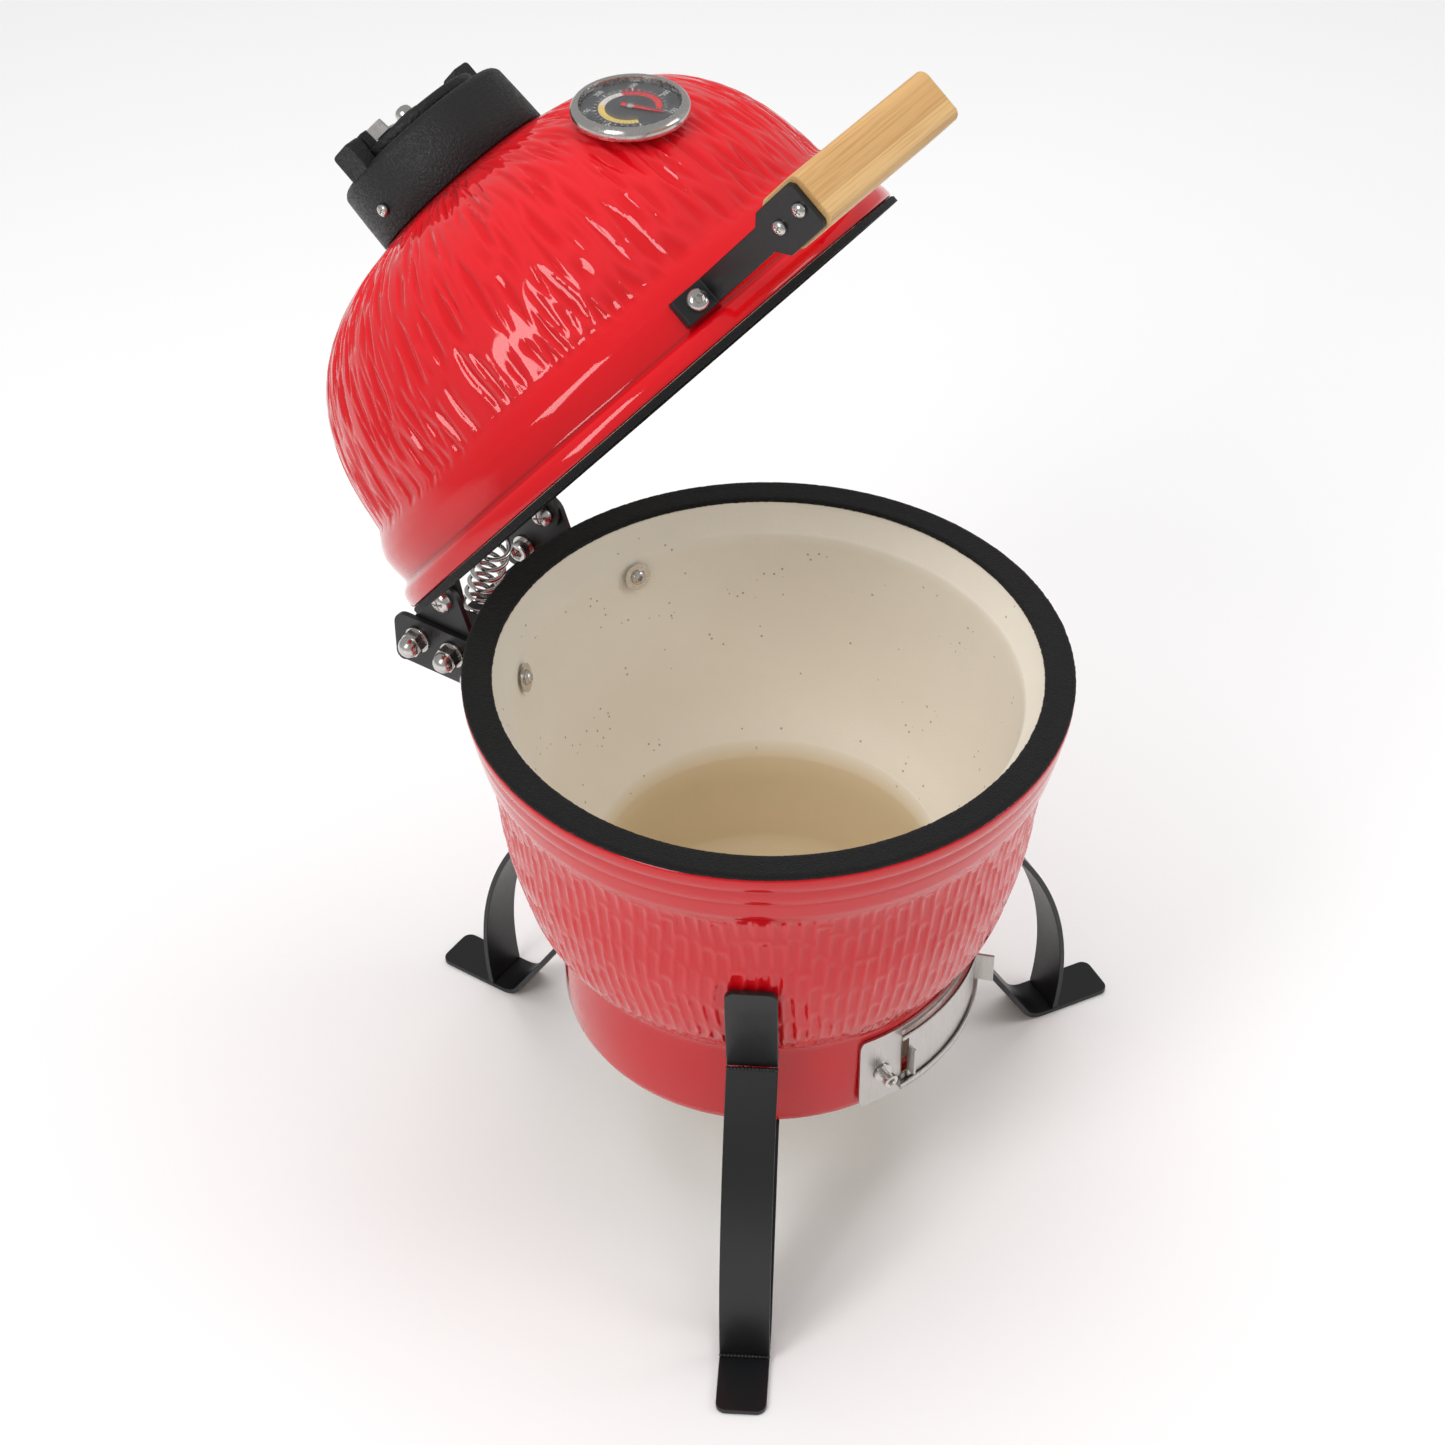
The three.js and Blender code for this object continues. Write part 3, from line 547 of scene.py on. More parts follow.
def press_pattern(bm, depth, amount, shape):
    """Sinks a pattern into a closed bmesh; amount(co) is how much of it there is at a point."""
    ridge_highlight_layer = bm.verts.layers.float.new("ridge")
    bmesh.ops.recalc_face_normals(bm, faces=bm.faces)
    bm.normal_update()
    moves = []
    for vert in bm.verts:
        share = amount(vert.co)
        if share > 0:
            sink, ridge = shape(vert.co)
            # the ridge mask is kept for the glaze colour, where it paints a highlight on the ridges
            vert[ridge_highlight_layer] = share * ridge
            moves.append((vert, -share * depth * sink * vert.normal))
    for vert, move in moves:
        vert.co += move


def write_attribute(bm, name, value):
    layer = bm.verts.layers.float.new(name)
    for vert in bm.verts:
        vert[layer] = value(vert)


def bell(value, middle, width):
    return math.exp(-((value - middle) / width) ** 2)


print("pattern helpers made")


# %% [markdown]
# ## Bowl
#
# The bowl is a pot of pale clay with a red glaze fired on its outside. They are made as two closed
# turned pieces that meet inside the wall, so the fine pattern costs triangles only where it is
# seen. The glaze runs down over a plain band and the pressed body to a waist and a plain base.

# %% Bowl outlines
band_line = (
    [(199.5, -3.3), (203.2, -3.3), (204.4, -4.2), (204.6, -6.0), (204.2, -10), (202.9, -14.6)]
    + [(202.5, -15.2), (202.5, -16.2), (201.6, -22), (200.4, -27.8), (199.9, -28.6), (199.8, -29.6)]
    + curve_through([(199.4, -32), (196.4, -44.5)], 3) + [(195.2, -46.4)])
body_line = curve_through([(194.2, -49), (190, -66), (186, -94), (183, -123), (176.5, -154),
                           (168, -184), (157.5, -203), (152.5, -209.5)], 9)
base_line = [(150.0, -212), (147.6, -214.6), (146.3, -218), (146.2, -222), (145.2, -254),
             (144.3, -284), (143.4, -288), (141.5, -291.8)]
joint_line = [(137.5, -291.8), (138.5, -222), (150, -203), (163, -183), (171.5, -154),
              (178, -123), (181, -94), (185, -66), (190, -45), (195.5, -28), (199, -10)]
inside_line = (
    [(0, -268), (110, -268), (115.5, -266), (117.5, -261), (117.7, -205), (117.8, -187), (118.6, -184.8)]
    + curve_through([(122.4, -174.0), (125.5, -170), (138, -152), (150, -123), (159, -92),
                     (166, -60), (171, -31)], 4)
    + [(172.2, -24), (173.6, -21.8), (175.2, -20.2), (183.4, -4.4), (184.2, -3.3)])
print("bowl outline points:", len(band_line + body_line + base_line), len(inside_line))


# %% Bowl glaze and clay
def bowl_glaze():
    bm = spun(band_line + body_line + base_line + joint_line, steps=840, closed=True)

    def amount(co):
        within_wall = math.hypot(co.x, co.y) < joint_radius(co.z)
        return 0 if within_wall else smoothstep(-48, -56, co.z) * smoothstep(-211, -203, co.z)

    press_pattern(bm, 1.4, amount, tile)
    # painted shade: the colour darkens at the waist, in the groove under the rim band, at the line below it and
    # where the band meets the pressed body
    write_attribute(bm, "crease_shade", lambda vert: min(1.0, 0.7 * bell(vert.co.z, -211, 2.2)
                    + 0.2 * bell(vert.co.z, -15.6, 0.9) + 0.15 * bell(vert.co.z, -29, 0.9)
                    + 0.25 * bell(vert.co.z, -48, 1.5)))
    return new_piece("bowl glaze", bm, bowl_place, red_glaze, smooth=50)


def joint_radius(height):
    """The radius halfway between the glaze's face and its joint with the clay."""
    for (r0, z0), (r1, z1) in zip(joint_line, joint_line[1:]):
        if z0 <= height <= z1:
            return r0 + (r1 - r0) * (height - z0) / (z1 - z0) + 1.5
    return 0.0


def bowl_clay():
    foot = [(0, -288), (118, -288), (120, -293), (137, -293)]
    line = inside_line + [(199.5, -3.3)] + joint_line[::-1] + foot[::-1]
    bm = spun(line, steps=160, closed=True)
    # the chamber mask below the ledge, which the clay finish paints darker tan as shade of the deep chamber with
    # some brown tint
    write_attribute(bm, "chamber", lambda vert: smoothstep(-178, -188, vert.co.z))
    return new_piece("bowl clay", bm, bowl_place, bare_clay, smooth=50)


window_start, window_end = -108.5, -77  # degrees, the front is -90


def window_tool():
    section = [(100, -274), (160, -274), (160, -234), (100, -234)]
    return new_piece("window tool", spun(section, 16, True, window_start, window_end), bowl_place,
                     bare_clay)


bowl_skin = carved(bowl_glaze(), window_tool())
bowl_body = carved(bowl_clay(), window_tool())
add(bowl_skin, "base", "red_glaze", "bowl")
add(bowl_body, "base", "red_glaze")
print("bowl faces:", len(bowl_skin.data.polygons), len(bowl_body.data.polygons))

# %% [markdown]
# ## Lid
#
# The lid's dome is a superellipse, fuller than a half ball. Round its foot run a plain band and a
# thicker rim, with a dark line of painted shade in the crease between them. It is made shut and
# hung open by the lid's matrix.

# %% Lid
dome_radius, dome_height, dome_power = 187.3, 189.6, 3


def dome_at(height):
    return dome_radius * (1 - (height / dome_height) ** dome_power) ** (1 / dome_power)


def dome_line(low, high, count):
    out = []
    for i in range(count + 1):
        height = low + (high - low) * math.sin(i / count * math.pi / 2)
        out.append((dome_at(height), height))
    return out


lid_band_line = (
    [(196.5, 5.3), (200.6, 5.3), (201.8, 6.2), (202.0, 8.0), (201.7, 12.0), (200.6, 15.4)]
    + [(198.8, 17.4), (196.2, 18.8), (194.8, 20.2), (194.4, 22.0), (195.2, 33), (195.0, 39)]
    + curve_through([(194.4, 41.5), (191.6, 48), (188.4, 53)], 3))
lid_crown_line = [(76, 185.4), (70, 186.9), (66, 188.2), (58, 188.4)]
lid_joint_line = (
    [(58, 183.5)] + [(182.5 * (1 - (z / 184.6) ** 3) ** (1 / 3), z) for z in (182, 172, 150, 115, 75)]
    + [(184, 50), (189.5, 40), (189.5, 24), (195, 15)])
lid_inside_line = (
    [(58, 188.4), (57, 190), (57, 222), (46, 222), (46, 172)]
    + [(163.5 * (1 - (z / 165) ** 3) ** (1 / 3), z) for z in (162, 158, 150, 135, 115, 90, 65, 42)]
    + [(166, 33), (170, 27), (183.7, 5.3)])
print("lid outline points:", len(lid_band_line), len(lid_inside_line))


# %% Lid glaze and clay
def lid_glaze():
    line = lid_band_line + dome_line(57, 182.5, 80) + lid_crown_line + lid_joint_line
    bm = spun(line, steps=840, closed=True)
    middle = Vector((0, 0, 20))

    def amount(co):
        radius = math.hypot(co.x, co.y)
        on_face = radius > dome_at(min(co.z, 183)) - 2
        return smoothstep(50, 62, co.z) * smoothstep(68, 82, radius) if on_face else 0

    def shape(co):
        away = co - middle
        return gouge(co, 190 * math.atan2(away.z, math.hypot(away.x, away.y)))

    press_pattern(bm, 1.8, amount, shape)
    # painted shade: the colour darkens in the crease between the band and the rim and round the foot of the
    # chimney cap
    write_attribute(bm, "crease_shade", lambda vert: min(1.0, 0.75 * bell(vert.co.z, 20.2, 1.6)
                    + 0.9 * bell(math.hypot(vert.co.x, vert.co.y), 70, 7) * (vert.co.z > 180)))
    return new_piece("lid glaze", bm, lid_place, red_glaze, smooth=50)


def lid_clay():
    bm = spun(lid_inside_line + [(196.5, 5.3)] + lid_joint_line[::-1], steps=160, closed=True)
    return new_piece("lid clay", bm, lid_place, bare_clay, smooth=50)


lid_skin = add(lid_glaze(), "lid", "red_glaze", "lid")
lid_body = add(lid_clay(), "lid", "red_glaze")
print("lid faces:", len(lid_skin.data.polygons), len(lid_body.data.polygons))

# %% [markdown]
# ## Felt seals
#
# Two rings of thick black felt are glued to the rims. Felt has no hard edge: the ring's skin is
# pushed in and out a little by noise, which gives the fuzzy outline.

# %% Felt rings
felt_skin, side_fuzz, top_fuzz = 0.5, 0.55, 0.5


def felt_ring(name, inner, outer, low, high, place, body, node):
    soft = min(1.2, (high - low) / 3)
    line = [(inner, low), (outer, low), (outer, high - soft), (outer - soft, high),
            (inner + soft, high), (inner, high - soft)]
    inner_steps = [(outer - soft - (outer - inner - 2 * soft) * i / 8, high) for i in range(1, 8)]
    line = line[:4] + inner_steps + line[4:]
    bm = spun(line, steps=720, closed=True)
    for vert in bm.verts:
        spot = vert.co * 1.1
        side = Vector((vert.co.x, vert.co.y, 0)).normalized()
        reach = math.hypot(vert.co.x, vert.co.y)
        if reach > outer - felt_skin or reach < inner + felt_skin:
            vert.co += side * side_fuzz * noise.noise(spot)
        if vert.co.z > low + felt_skin:
            vert.co.z += min(0.0, top_fuzz * noise.noise(spot + Vector((9, 9, 9))))
    return add(new_piece(name, bm, place, felt, smooth=80), body, "felt", node)


bowl_felt = felt_ring("bowl felt", 184.2, 204.6, -3.0, 0.0, bowl_place, "base", "bowl_gasket")
lid_felt = felt_ring("lid felt", 184.5, 202.5, 0.3, 5.0, lid_place, "lid", "lid_gasket")
print("felt points:", len(bowl_felt.data.vertices), len(lid_felt.data.vertices))

# %% [markdown]
# ## Chimney cap
#
# A black casting sits over the lid's chimney. It is turned from its section, and its air holes
# are cut with a boolean. The disc on top turns to open and shut the holes, between two lugs.

# %% Chimney cap and vent disc
cap_low, cap_high, cap_radius = 189, 232, 65.5
hole_radius, hole_circle, hole_count = 9.5, 31, 6
disc_low = cap_high + 0.3
disc_high = disc_low + 8


def hole_tools(low, high, place):
    tools = []
    for i in range(hole_count):
        bm = spun([(0, low), (hole_radius, low), (hole_radius, high), (0, high)], 32)
        turn = Matrix.Rotation(2 * math.pi * i / hole_count, 4, "Z")
        shift = Matrix.Translation((hole_circle * mm, 0, 0))
        tools.append(new_piece("hole tool", bm, place @ turn @ shift, cast_iron))
    return tools


cap_line = [(0, cap_high - 6), (58.3, cap_high - 6), (58.3, cap_low), (64.8, cap_low),
            (cap_radius, cap_low + 0.8), (64.9, cap_low + 20), (64, cap_high - 4.6),
            (63.4, cap_high - 3), (61.8, cap_high - 1),
            (60.2, cap_high), (51.5, cap_high), (0, cap_high)]
cap = turned("chimney cap", cap_line, lid_place, cast_iron, steps=96, smooth=45)
carved(cap, *hole_tools(cap_high - 10, cap_high + 4, lid_place))
add(cap, "lid", "cast_iron", "vent_cap")


def cap_lug(side):
    bm = bmesh.new()
    near, far = sorted((side * 50.5, side * 62))
    box(bm, (near, -10, cap_high - 2), (far, 10, cap_high + 18.5))
    tall = [edge for edge in bm.edges
            if abs(edge.verts[0].co.x - edge.verts[1].co.x) > 5 and edge.verts[0].co.z > cap_high]
    round_edges(bm, tall, 3.0, 4)
    lug = new_piece(f"cap lug {'right' if side > 0 else 'left'}", bm, lid_place, cast_iron)
    return add(rounded(lug, 1.0), "lid", "cast_iron")


for side in (-1, 1):
    cap_lug(side)

disc_line = [(0, disc_low), (47.2, disc_low), (48, disc_low + 0.8), (48, disc_high - 2),
             (47, disc_high - 0.5), (45.5, disc_high), (13, disc_high), (11.8, disc_high + 1),
             (11, disc_high + 4.2),
             (10, disc_high + 5), (0, disc_high + 5)]
disc = turned("vent disc", disc_line, lid_place, cast_iron, steps=96, smooth=45)
carved(disc, *hole_tools(disc_low - 1, disc_high + 1, lid_place))
add(disc, "vent", "cast_iron", "vent_disc")

finger = bmesh.new()
box(finger, (-46.5, -8, disc_high - 1), (-39, 8, cap_high + 19))
add(rounded(new_piece("disc finger", finger, lid_place, cast_iron), 1.4), "vent", "cast_iron")
add(from_node("vent lever strip", "vent_lever", stainless, 0.3), "vent", "stainless", "vent_lever")
print("cap and disc faces:", len(cap.data.polygons), len(disc.data.polygons))

# %% [markdown]
# ## Screws, bolts and nuts
#
# Every fastener is turned, then its driving recess is cut: a cross for the pan heads, a hexagon
# for the button and cap heads. Dome nuts are a hexagonal prism with a domed end.

# %% Fastener helpers
def merge(bm, part):
    """Adds one bmesh to another and frees the one added."""
    mesh = bpy.data.meshes.new("part")
    part.to_mesh(mesh)
    part.free()
    bm.from_mesh(mesh)
    return bm


def prism(radius, low, high, sides=6):
    """A closed bmesh prism on Z; radius is to its corners."""
    bm = bmesh.new()
    bmesh.ops.create_cone(bm, cap_ends=True, segments=sides, radius1=radius, radius2=radius,
                          depth=high - low)
    bmesh.ops.translate(bm, verts=bm.verts, vec=(0, 0, (low + high) / 2))
    return bm


def hex_socket(piece, radius, low, high, place):
    return carved(piece, new_piece("socket tool", prism(radius, low, high), place, stainless))


def cross_recess(piece, reach, width, low, high, place):
    tools = []
    for turn in (0, 90):
        bm = bmesh.new()
        box(bm, (-reach, -width / 2, low), (reach, width / 2, high))
        quarter = Matrix.Rotation(math.radians(turn + 20), 4, "Z")
        tools.append(new_piece("cross tool", bm, place @ quarter, stainless))
    return carved(piece, *tools)


def pan_screw(name, radius, shank, length, place, body, *nodes, tall=3.4):
    """A pan head on Z = 0 with a cross recess, its shank running down."""
    line = [(0, -length), (shank * 0.8, -length), (shank, -length + 1), (shank, 0), (radius, 0),
            (radius * 0.99, tall * 0.35), (radius * 0.86, tall * 0.68), (radius * 0.55, tall * 0.92),
            (radius * 0.25, tall), (0, tall)]
    screw = turned(name, line, place, stainless, steps=40)
    cross_recess(screw, radius * 0.52, radius * 0.2, tall * 0.45, tall * 1.5, place)
    return add(screw, body, "stainless", *nodes)


def button_bolt(name, radius, shank, length, place, body, *nodes, washer=0.0):
    """A button head with a hexagonal socket, on a washer if one is asked for."""
    rise = 1.5 if washer else 0.0
    foot = [(shank, 0), (radius, 0)]
    if washer:
        foot = [(shank, 0), (washer, 0), (washer, rise), (radius, rise)]
    tall = radius * 0.6
    line = [(0, -length), (shank, -length)] + foot + [
        (radius, rise + tall * 0.25), (radius * 0.88, rise + tall * 0.62),
        (radius * 0.66, rise + tall * 0.9), (radius * 0.45, rise + tall), (0, rise + tall)]
    bolt = turned(name, line, place, stainless, steps=40)
    hex_socket(bolt, radius * 0.44, rise + tall * 0.25, rise + tall * 1.4, place)
    return add(bolt, body, "stainless", *nodes)


def flat_nut(name, corner, washer, low, place):
    """A hexagonal nut and its washer round a bolt, the washer on the outer side."""
    bm = spun([(4.3, low + 6.9), (washer, low + 6.9), (washer, low + 8.4), (4.3, low + 8.4)], 40, True)
    bmesh.ops.recalc_face_normals(bm, faces=bm.faces)
    merge(bm, spun([(4.3, low), (corner, low), (corner, low + 6.9), (4.3, low + 6.9)], 6, True))
    return rounded(new_piece(name, bm, place, stainless), 0.35)


print("fastener helpers made")


# %% [markdown]
# ## Small fasteners of the lid
#
# The cap is held by a set screw and the disc by a domed pivot screw. The handle's brackets are
# bolted to the plain band, and the bar is screwed to the brackets' heads.

# %% Cap and handle fasteners
gap = 0.3
hub_high = disc_high + 5 + gap
pan_screw("vent pivot screw", 6, 3.0, hub_high - (cap_high - 8),
          lid_place @ Matrix.Translation((0, 0, hub_high * mm)), "lid", "vent_pivot_screw", tall=6)
set_seat = cap_radius + 0.4
pan_screw("cap set screw", 4.3, 2.5, 8.4,
          lid_place @ Matrix.Translation((-set_seat * mm, 0, 205 * mm))
          @ Matrix.Rotation(-math.pi / 2, 4, "Y"), "lid", "vent_set_screw", tall=2.6)

bracket_angle, bracket_height = 24.4, 31.5
bar_half, bar_height, bar_outer = 69.5, 31, 295
screw_x = bar_half + 0.3 + 4 + 0.3
bar_inner = bar_outer - 38
for side, name in ((-1, "left"), (1, "right")):
    bolt_place = lid_place @ level(-90 + side * bracket_angle, bracket_height) @ Matrix.Translation(
        (0, 0, 199.9 * mm))
    button_bolt(f"bracket bolt {name}", 7.0, 4.0, 45.9, bolt_place, "lid", f"bracket_bolt_{name}")
    axis_place = lid_place @ level(-90 + side * bracket_angle, bracket_height)
    add(flat_nut(f"bracket nut {name}", 7.6, 11, 152.5, axis_place), "lid", "stainless",
        f"bracket_nut_{name}")
    for number, out in ((1, bar_inner + 6), (2, bar_inner + 26.5)):
        spot = lid_place @ Matrix.Translation((side * screw_x * mm, -out * mm, bar_height * mm))
        pan_screw(f"handle screw {name} {number}", 4.7, 2.1, 28,
                  spot @ Matrix.Rotation(side * math.pi / 2, 4, "Y"), "lid",
                  f"handle_screw_{name}_{number}")
print("bracket bolts at", bracket_angle, "degrees, bar screws at", screw_x, "mm")

# %% [markdown]
# ## Thermometer
#
# The dial sits in a stainless case with a sloping ring. The scale is painted on: a band that goes
# from yellow through white to red, clockwise from the lower left. The band is a colour worked out
# from the angle about the dial's middle, and the marks and numbers are thin raised print.

# %% Case and glass
case_line = [(0, 1.2), (34.6, 1.2), (36.2, 2.0), (36.5, 3.2), (36.5, 6.4), (36.0, 7.6), (34.4, 9.3),
             (33.4, 9.8), (32.2, 9.8), (31.4, 9.4), (31.1, 8.6), (31.1, 4), (0, 4)]
add(turned("gauge case", case_line, gauge_place, stainless, steps=96), "lid", "stainless",
    "thermometer_case")
glass_line = [(0, 8.1), (30.8, 8.1), (30.8, 8.9), (20, 9.4), (0, 9.6)]
add(turned("gauge glass", glass_line, gauge_place, clear_glass, steps=96), "lid", "clear_glass",
    "thermometer_lens")
print("case radius:", max(radius for radius, height in case_line), "mm")


# %% Dial
scale_start = -129  # degrees from the dial's right
yellow_ends, pale_ends, red_ends = 0.33, 0.50, 0.82  # turns clockwise from the start
dial_grey = (0.045, 0.047, 0.052)
mark_step, number_step, number_radius = 10, 50, 26.6


def dial_finish():
    dial = finish("dial", dial_grey, 0.6)
    wires = wiring(dial)
    parts = wires.node("ShaderNodeSeparateXYZ")
    wires.feed(parts.inputs[0], wires.place(gauge_place))
    x, y = parts.outputs[0], parts.outputs[1]
    squares = wires.math("ADD", wires.math("MULTIPLY", x, x), wires.math("MULTIPLY", y, y))
    radius = wires.math("SQRT", squares)
    # clockwise from the start of the scale, in turns
    turn = wires.math("DIVIDE", wires.math("ARCTAN2", wires.math("MULTIPLY", x, -1.0),
                                           wires.math("MULTIPLY", y, -1.0)), 2 * math.pi)
    turn = wires.math("FRACT", wires.math("ADD", turn, 1.0 + (scale_start + 90) / 360))
    inner, outer = 15.5 * mm, 19.5 * mm
    band = wires.math("MULTIPLY", wires.math("GREATER_THAN", radius, inner),
                      wires.math("LESS_THAN", radius, outer))
    band = wires.math("MULTIPLY", band, wires.math("LESS_THAN", turn, red_ends))
    yellow = wires.mix(wires.ramp(turn, yellow_ends - 0.02, yellow_ends + 0.02), (0.70, 0.50, 0.12),
                       (0.66, 0.62, 0.58))
    scale = wires.mix(wires.ramp(turn, pale_ends - 0.01, pale_ends + 0.01), yellow, (0.62, 0.015, 0.02))
    ticks = wires.math("GREATER_THAN", wires.math("FRACT", wires.math("MULTIPLY", turn, 48.0)), 0.8)
    scale = wires.mix(wires.math("MULTIPLY", ticks, 0.6), scale, (0.05, 0.05, 0.05))
    wires.feed(wires.shader.inputs["Base Color"], wires.mix(band, dial_grey, scale))
    return dial


dial_line = [(0, 4.3), (30.8, 4.3), (30.8, 5.1), (0, 5.1)]
dial_piece = turned("gauge dial", dial_line, gauge_place, dial_finish(), steps=64)
add(dial_piece, "lid", "dial_face", "thermometer_dial")


def dial_marks():
    """Short marks round the dial and numbers between them, joined into one thin piece."""
    bm = bmesh.new()
    for i in range(31):
        angle = math.radians(scale_start - i * mark_step)
        long = i % 5 == 0
        half, end = (0.28, 23.4) if long else (0.16, 22.4)
        made = box(bm, (20.6, -half, 5.1), (end, half, 5.16))
        bmesh.ops.rotate(bm, verts=made, matrix=Matrix.Rotation(angle, 3, "Z"))
    for i in range(7):
        angle = math.radians(scale_start - i * number_step)
        text = bpy.data.curves.new("number", "FONT")
        text.body = str(50 + 100 * i // 2)
        text.size = 4.6
        text.align_x, text.align_y = "CENTER", "CENTER"
        holder = bpy.data.objects.new("number", text)
        bpy.context.scene.collection.objects.link(holder)
        flat = bpy.data.meshes.new_from_object(
            holder.evaluated_get(bpy.context.evaluated_depsgraph_get()))
        flat.transform(Matrix.Translation((number_radius * math.cos(angle),
                                           number_radius * math.sin(angle), 5.14)))
        bm.from_mesh(flat)
        bpy.data.objects.remove(holder)
    return new_piece("gauge marks", bm, gauge_place, pale_print)


add(dial_marks(), "lid", "dial_face")
print("dial starts at", scale_start, "degrees")

# %% Needle and stem
needle_angle = -80  # degrees from the dial's right


def needle():
    bm = bmesh.new()
    outline = [(-6, -1.6), (2, -1.2), (22, -0.4), (22, 0.4), (2, 1.2), (-6, 1.6)]
    face = bm.faces.new([bm.verts.new((x, y, 5.9)) for x, y in outline])
    pushed = bmesh.ops.extrude_face_region(bm, geom=[face])
    tops = [item for item in pushed["geom"] if isinstance(item, bmesh.types.BMVert)]
    bmesh.ops.translate(bm, verts=tops, vec=(0, 0, 0.6))
    bmesh.ops.rotate(bm, verts=bm.verts, matrix=Matrix.Rotation(math.radians(needle_angle), 3, "Z"))
    return new_piece("gauge needle", bm, gauge_place, needle_red)


add(needle(), "needle", "needle_red", "thermometer_needle")
add(turned("needle hub", [(0, 5.5), (2.6, 5.5), (2.6, 6.6), (1.7, 7.0), (0, 7.1)], gauge_place,
           stainless, steps=24), "needle", "stainless")
stem_line = [(0, -106), (1.2, -105.6), (2.2, -103), (2.2, -46), (4.4, -46), (4.4, 0.9), (0, 0.9)]
add(turned("gauge stem", stem_line, gauge_place, stainless, steps=24), "lid", "stainless",
    "thermometer_stem")
add(from_node("gauge nut", "thermometer_nut", stainless, 0.4), "lid", "stainless", "thermometer_nut")
print("needle at", needle_angle, "degrees")

# %% [markdown]
# ## Handle
#
# The bar is glued up from bamboo strips, so its grain runs straight along it in stripes a few
# millimetres wide, each strip a little different in tone.

# %% Bamboo
def bamboo_finish():
    bamboo = finish("bamboo", (0.62, 0.34, 0.12), 0.42)
    wires = wiring(bamboo)
    coords = wires.place(lid_place)
    fine = wires.noise(wires.place(lid_place, (14, 900, 900)), 1.0, 3.0, 0.6)
    parts = wires.node("ShaderNodeSeparateXYZ")
    wires.feed(parts.inputs[0], coords)
    strip = wires.math("FLOOR", wires.math("DIVIDE", parts.outputs[2], 6.4 * mm))
    layer = wires.math("FLOOR", wires.math("DIVIDE", parts.outputs[1], 19 * mm))
    odd = wires.node("ShaderNodeTexWhiteNoise", noise_dimensions="2D")
    both = wires.node("ShaderNodeCombineXYZ")
    wires.feed(both.inputs[0], strip)
    wires.feed(both.inputs[1], layer)
    wires.feed(odd.inputs["Vector"], both.outputs[0])
    tone = wires.mix(odd.outputs["Value"], (0.60, 0.35, 0.135), (0.72, 0.47, 0.21))
    streak = wires.math("MULTIPLY", wires.ramp(fine, 0.42, 0.7), 0.55)
    streaked = wires.mix(streak, tone, (0.42, 0.19, 0.055))
    wires.feed(wires.shader.inputs["Base Color"], streaked)
    bump = wires.node("ShaderNodeBump")
    wires.feed(bump.inputs["Height"], fine)
    bump.inputs["Strength"].default_value = 0.15
    bump.inputs["Distance"].default_value = 0.15 * mm
    wires.feed(wires.shader.inputs["Normal"], bump.outputs["Normal"])
    return bamboo


print("bamboo finish ready")


# %% Bar and brackets
bar = bmesh.new()
box(bar, (-bar_half, -bar_outer, bar_height - 18), (bar_half, -bar_inner, bar_height + 18))
round_edges(bar, [e for e in bar.edges if abs(e.verts[0].co.x - e.verts[1].co.x) > 1], 6.0, 6)
bar_piece = new_piece("handle bar bamboo", bar, lid_place, bamboo_finish())
add(rounded(bar_piece, 1.0), "lid", "bamboo", "handle_bar")
for name in ("left", "right"):
    add(from_node(f"handle bracket plate {name}", f"handle_bracket_{name}", black_steel, 0.7), "lid",
        "black_steel", f"handle_bracket_{name}")
print("bar length:", 2 * bar_half, "mm")

# %% [markdown]
# ## Hinge
#
# Two bent brackets are bolted to the bowl through wide washers. A yoke is clamped between their
# slotted flanges, and carries the lid's bracket on two pivot screws, with a spring in between.

# %% Hinge plates
for node, body in (("hinge_yoke", "base"), ("base_bracket_left", "base"), ("base_bracket_right", "base"),
                   ("lid_hinge_bracket", "lid")):
    add(from_node(node.replace("_", " ") + " plate", node, black_steel, 0.6), body, "black_steel", node)

arm_x, sheet = 58.3, 4
flange_seat = arm_x + sheet + 0.3 + sheet + 0.3
yoke_bolts_y, yoke_bolt_drop = (216, 246), 43.5
wall_slope, bolt_drop, bolt_angle = 11.6, 36, 23.4


def dome_nut(name, place, body, node):
    """A washer, a chamfered hexagon and a dome, standing on Z = 0."""
    bm = spun([(0, 0), (10, 0), (10, 1.9), (0, 1.9)], 40)
    merge(bm, prism(9.4, 1.7, 9.6))
    spun([(0, 9.4), (7.6, 9.4), (7.7, 10.6), (7.4, 12.6), (6.4, 14.8), (4.6, 16.6), (2.4, 17.7), (0, 18)],
         40, bm=bm)
    return add(rounded(new_piece(name, bm, place, stainless), 0.35), body, "stainless", node)


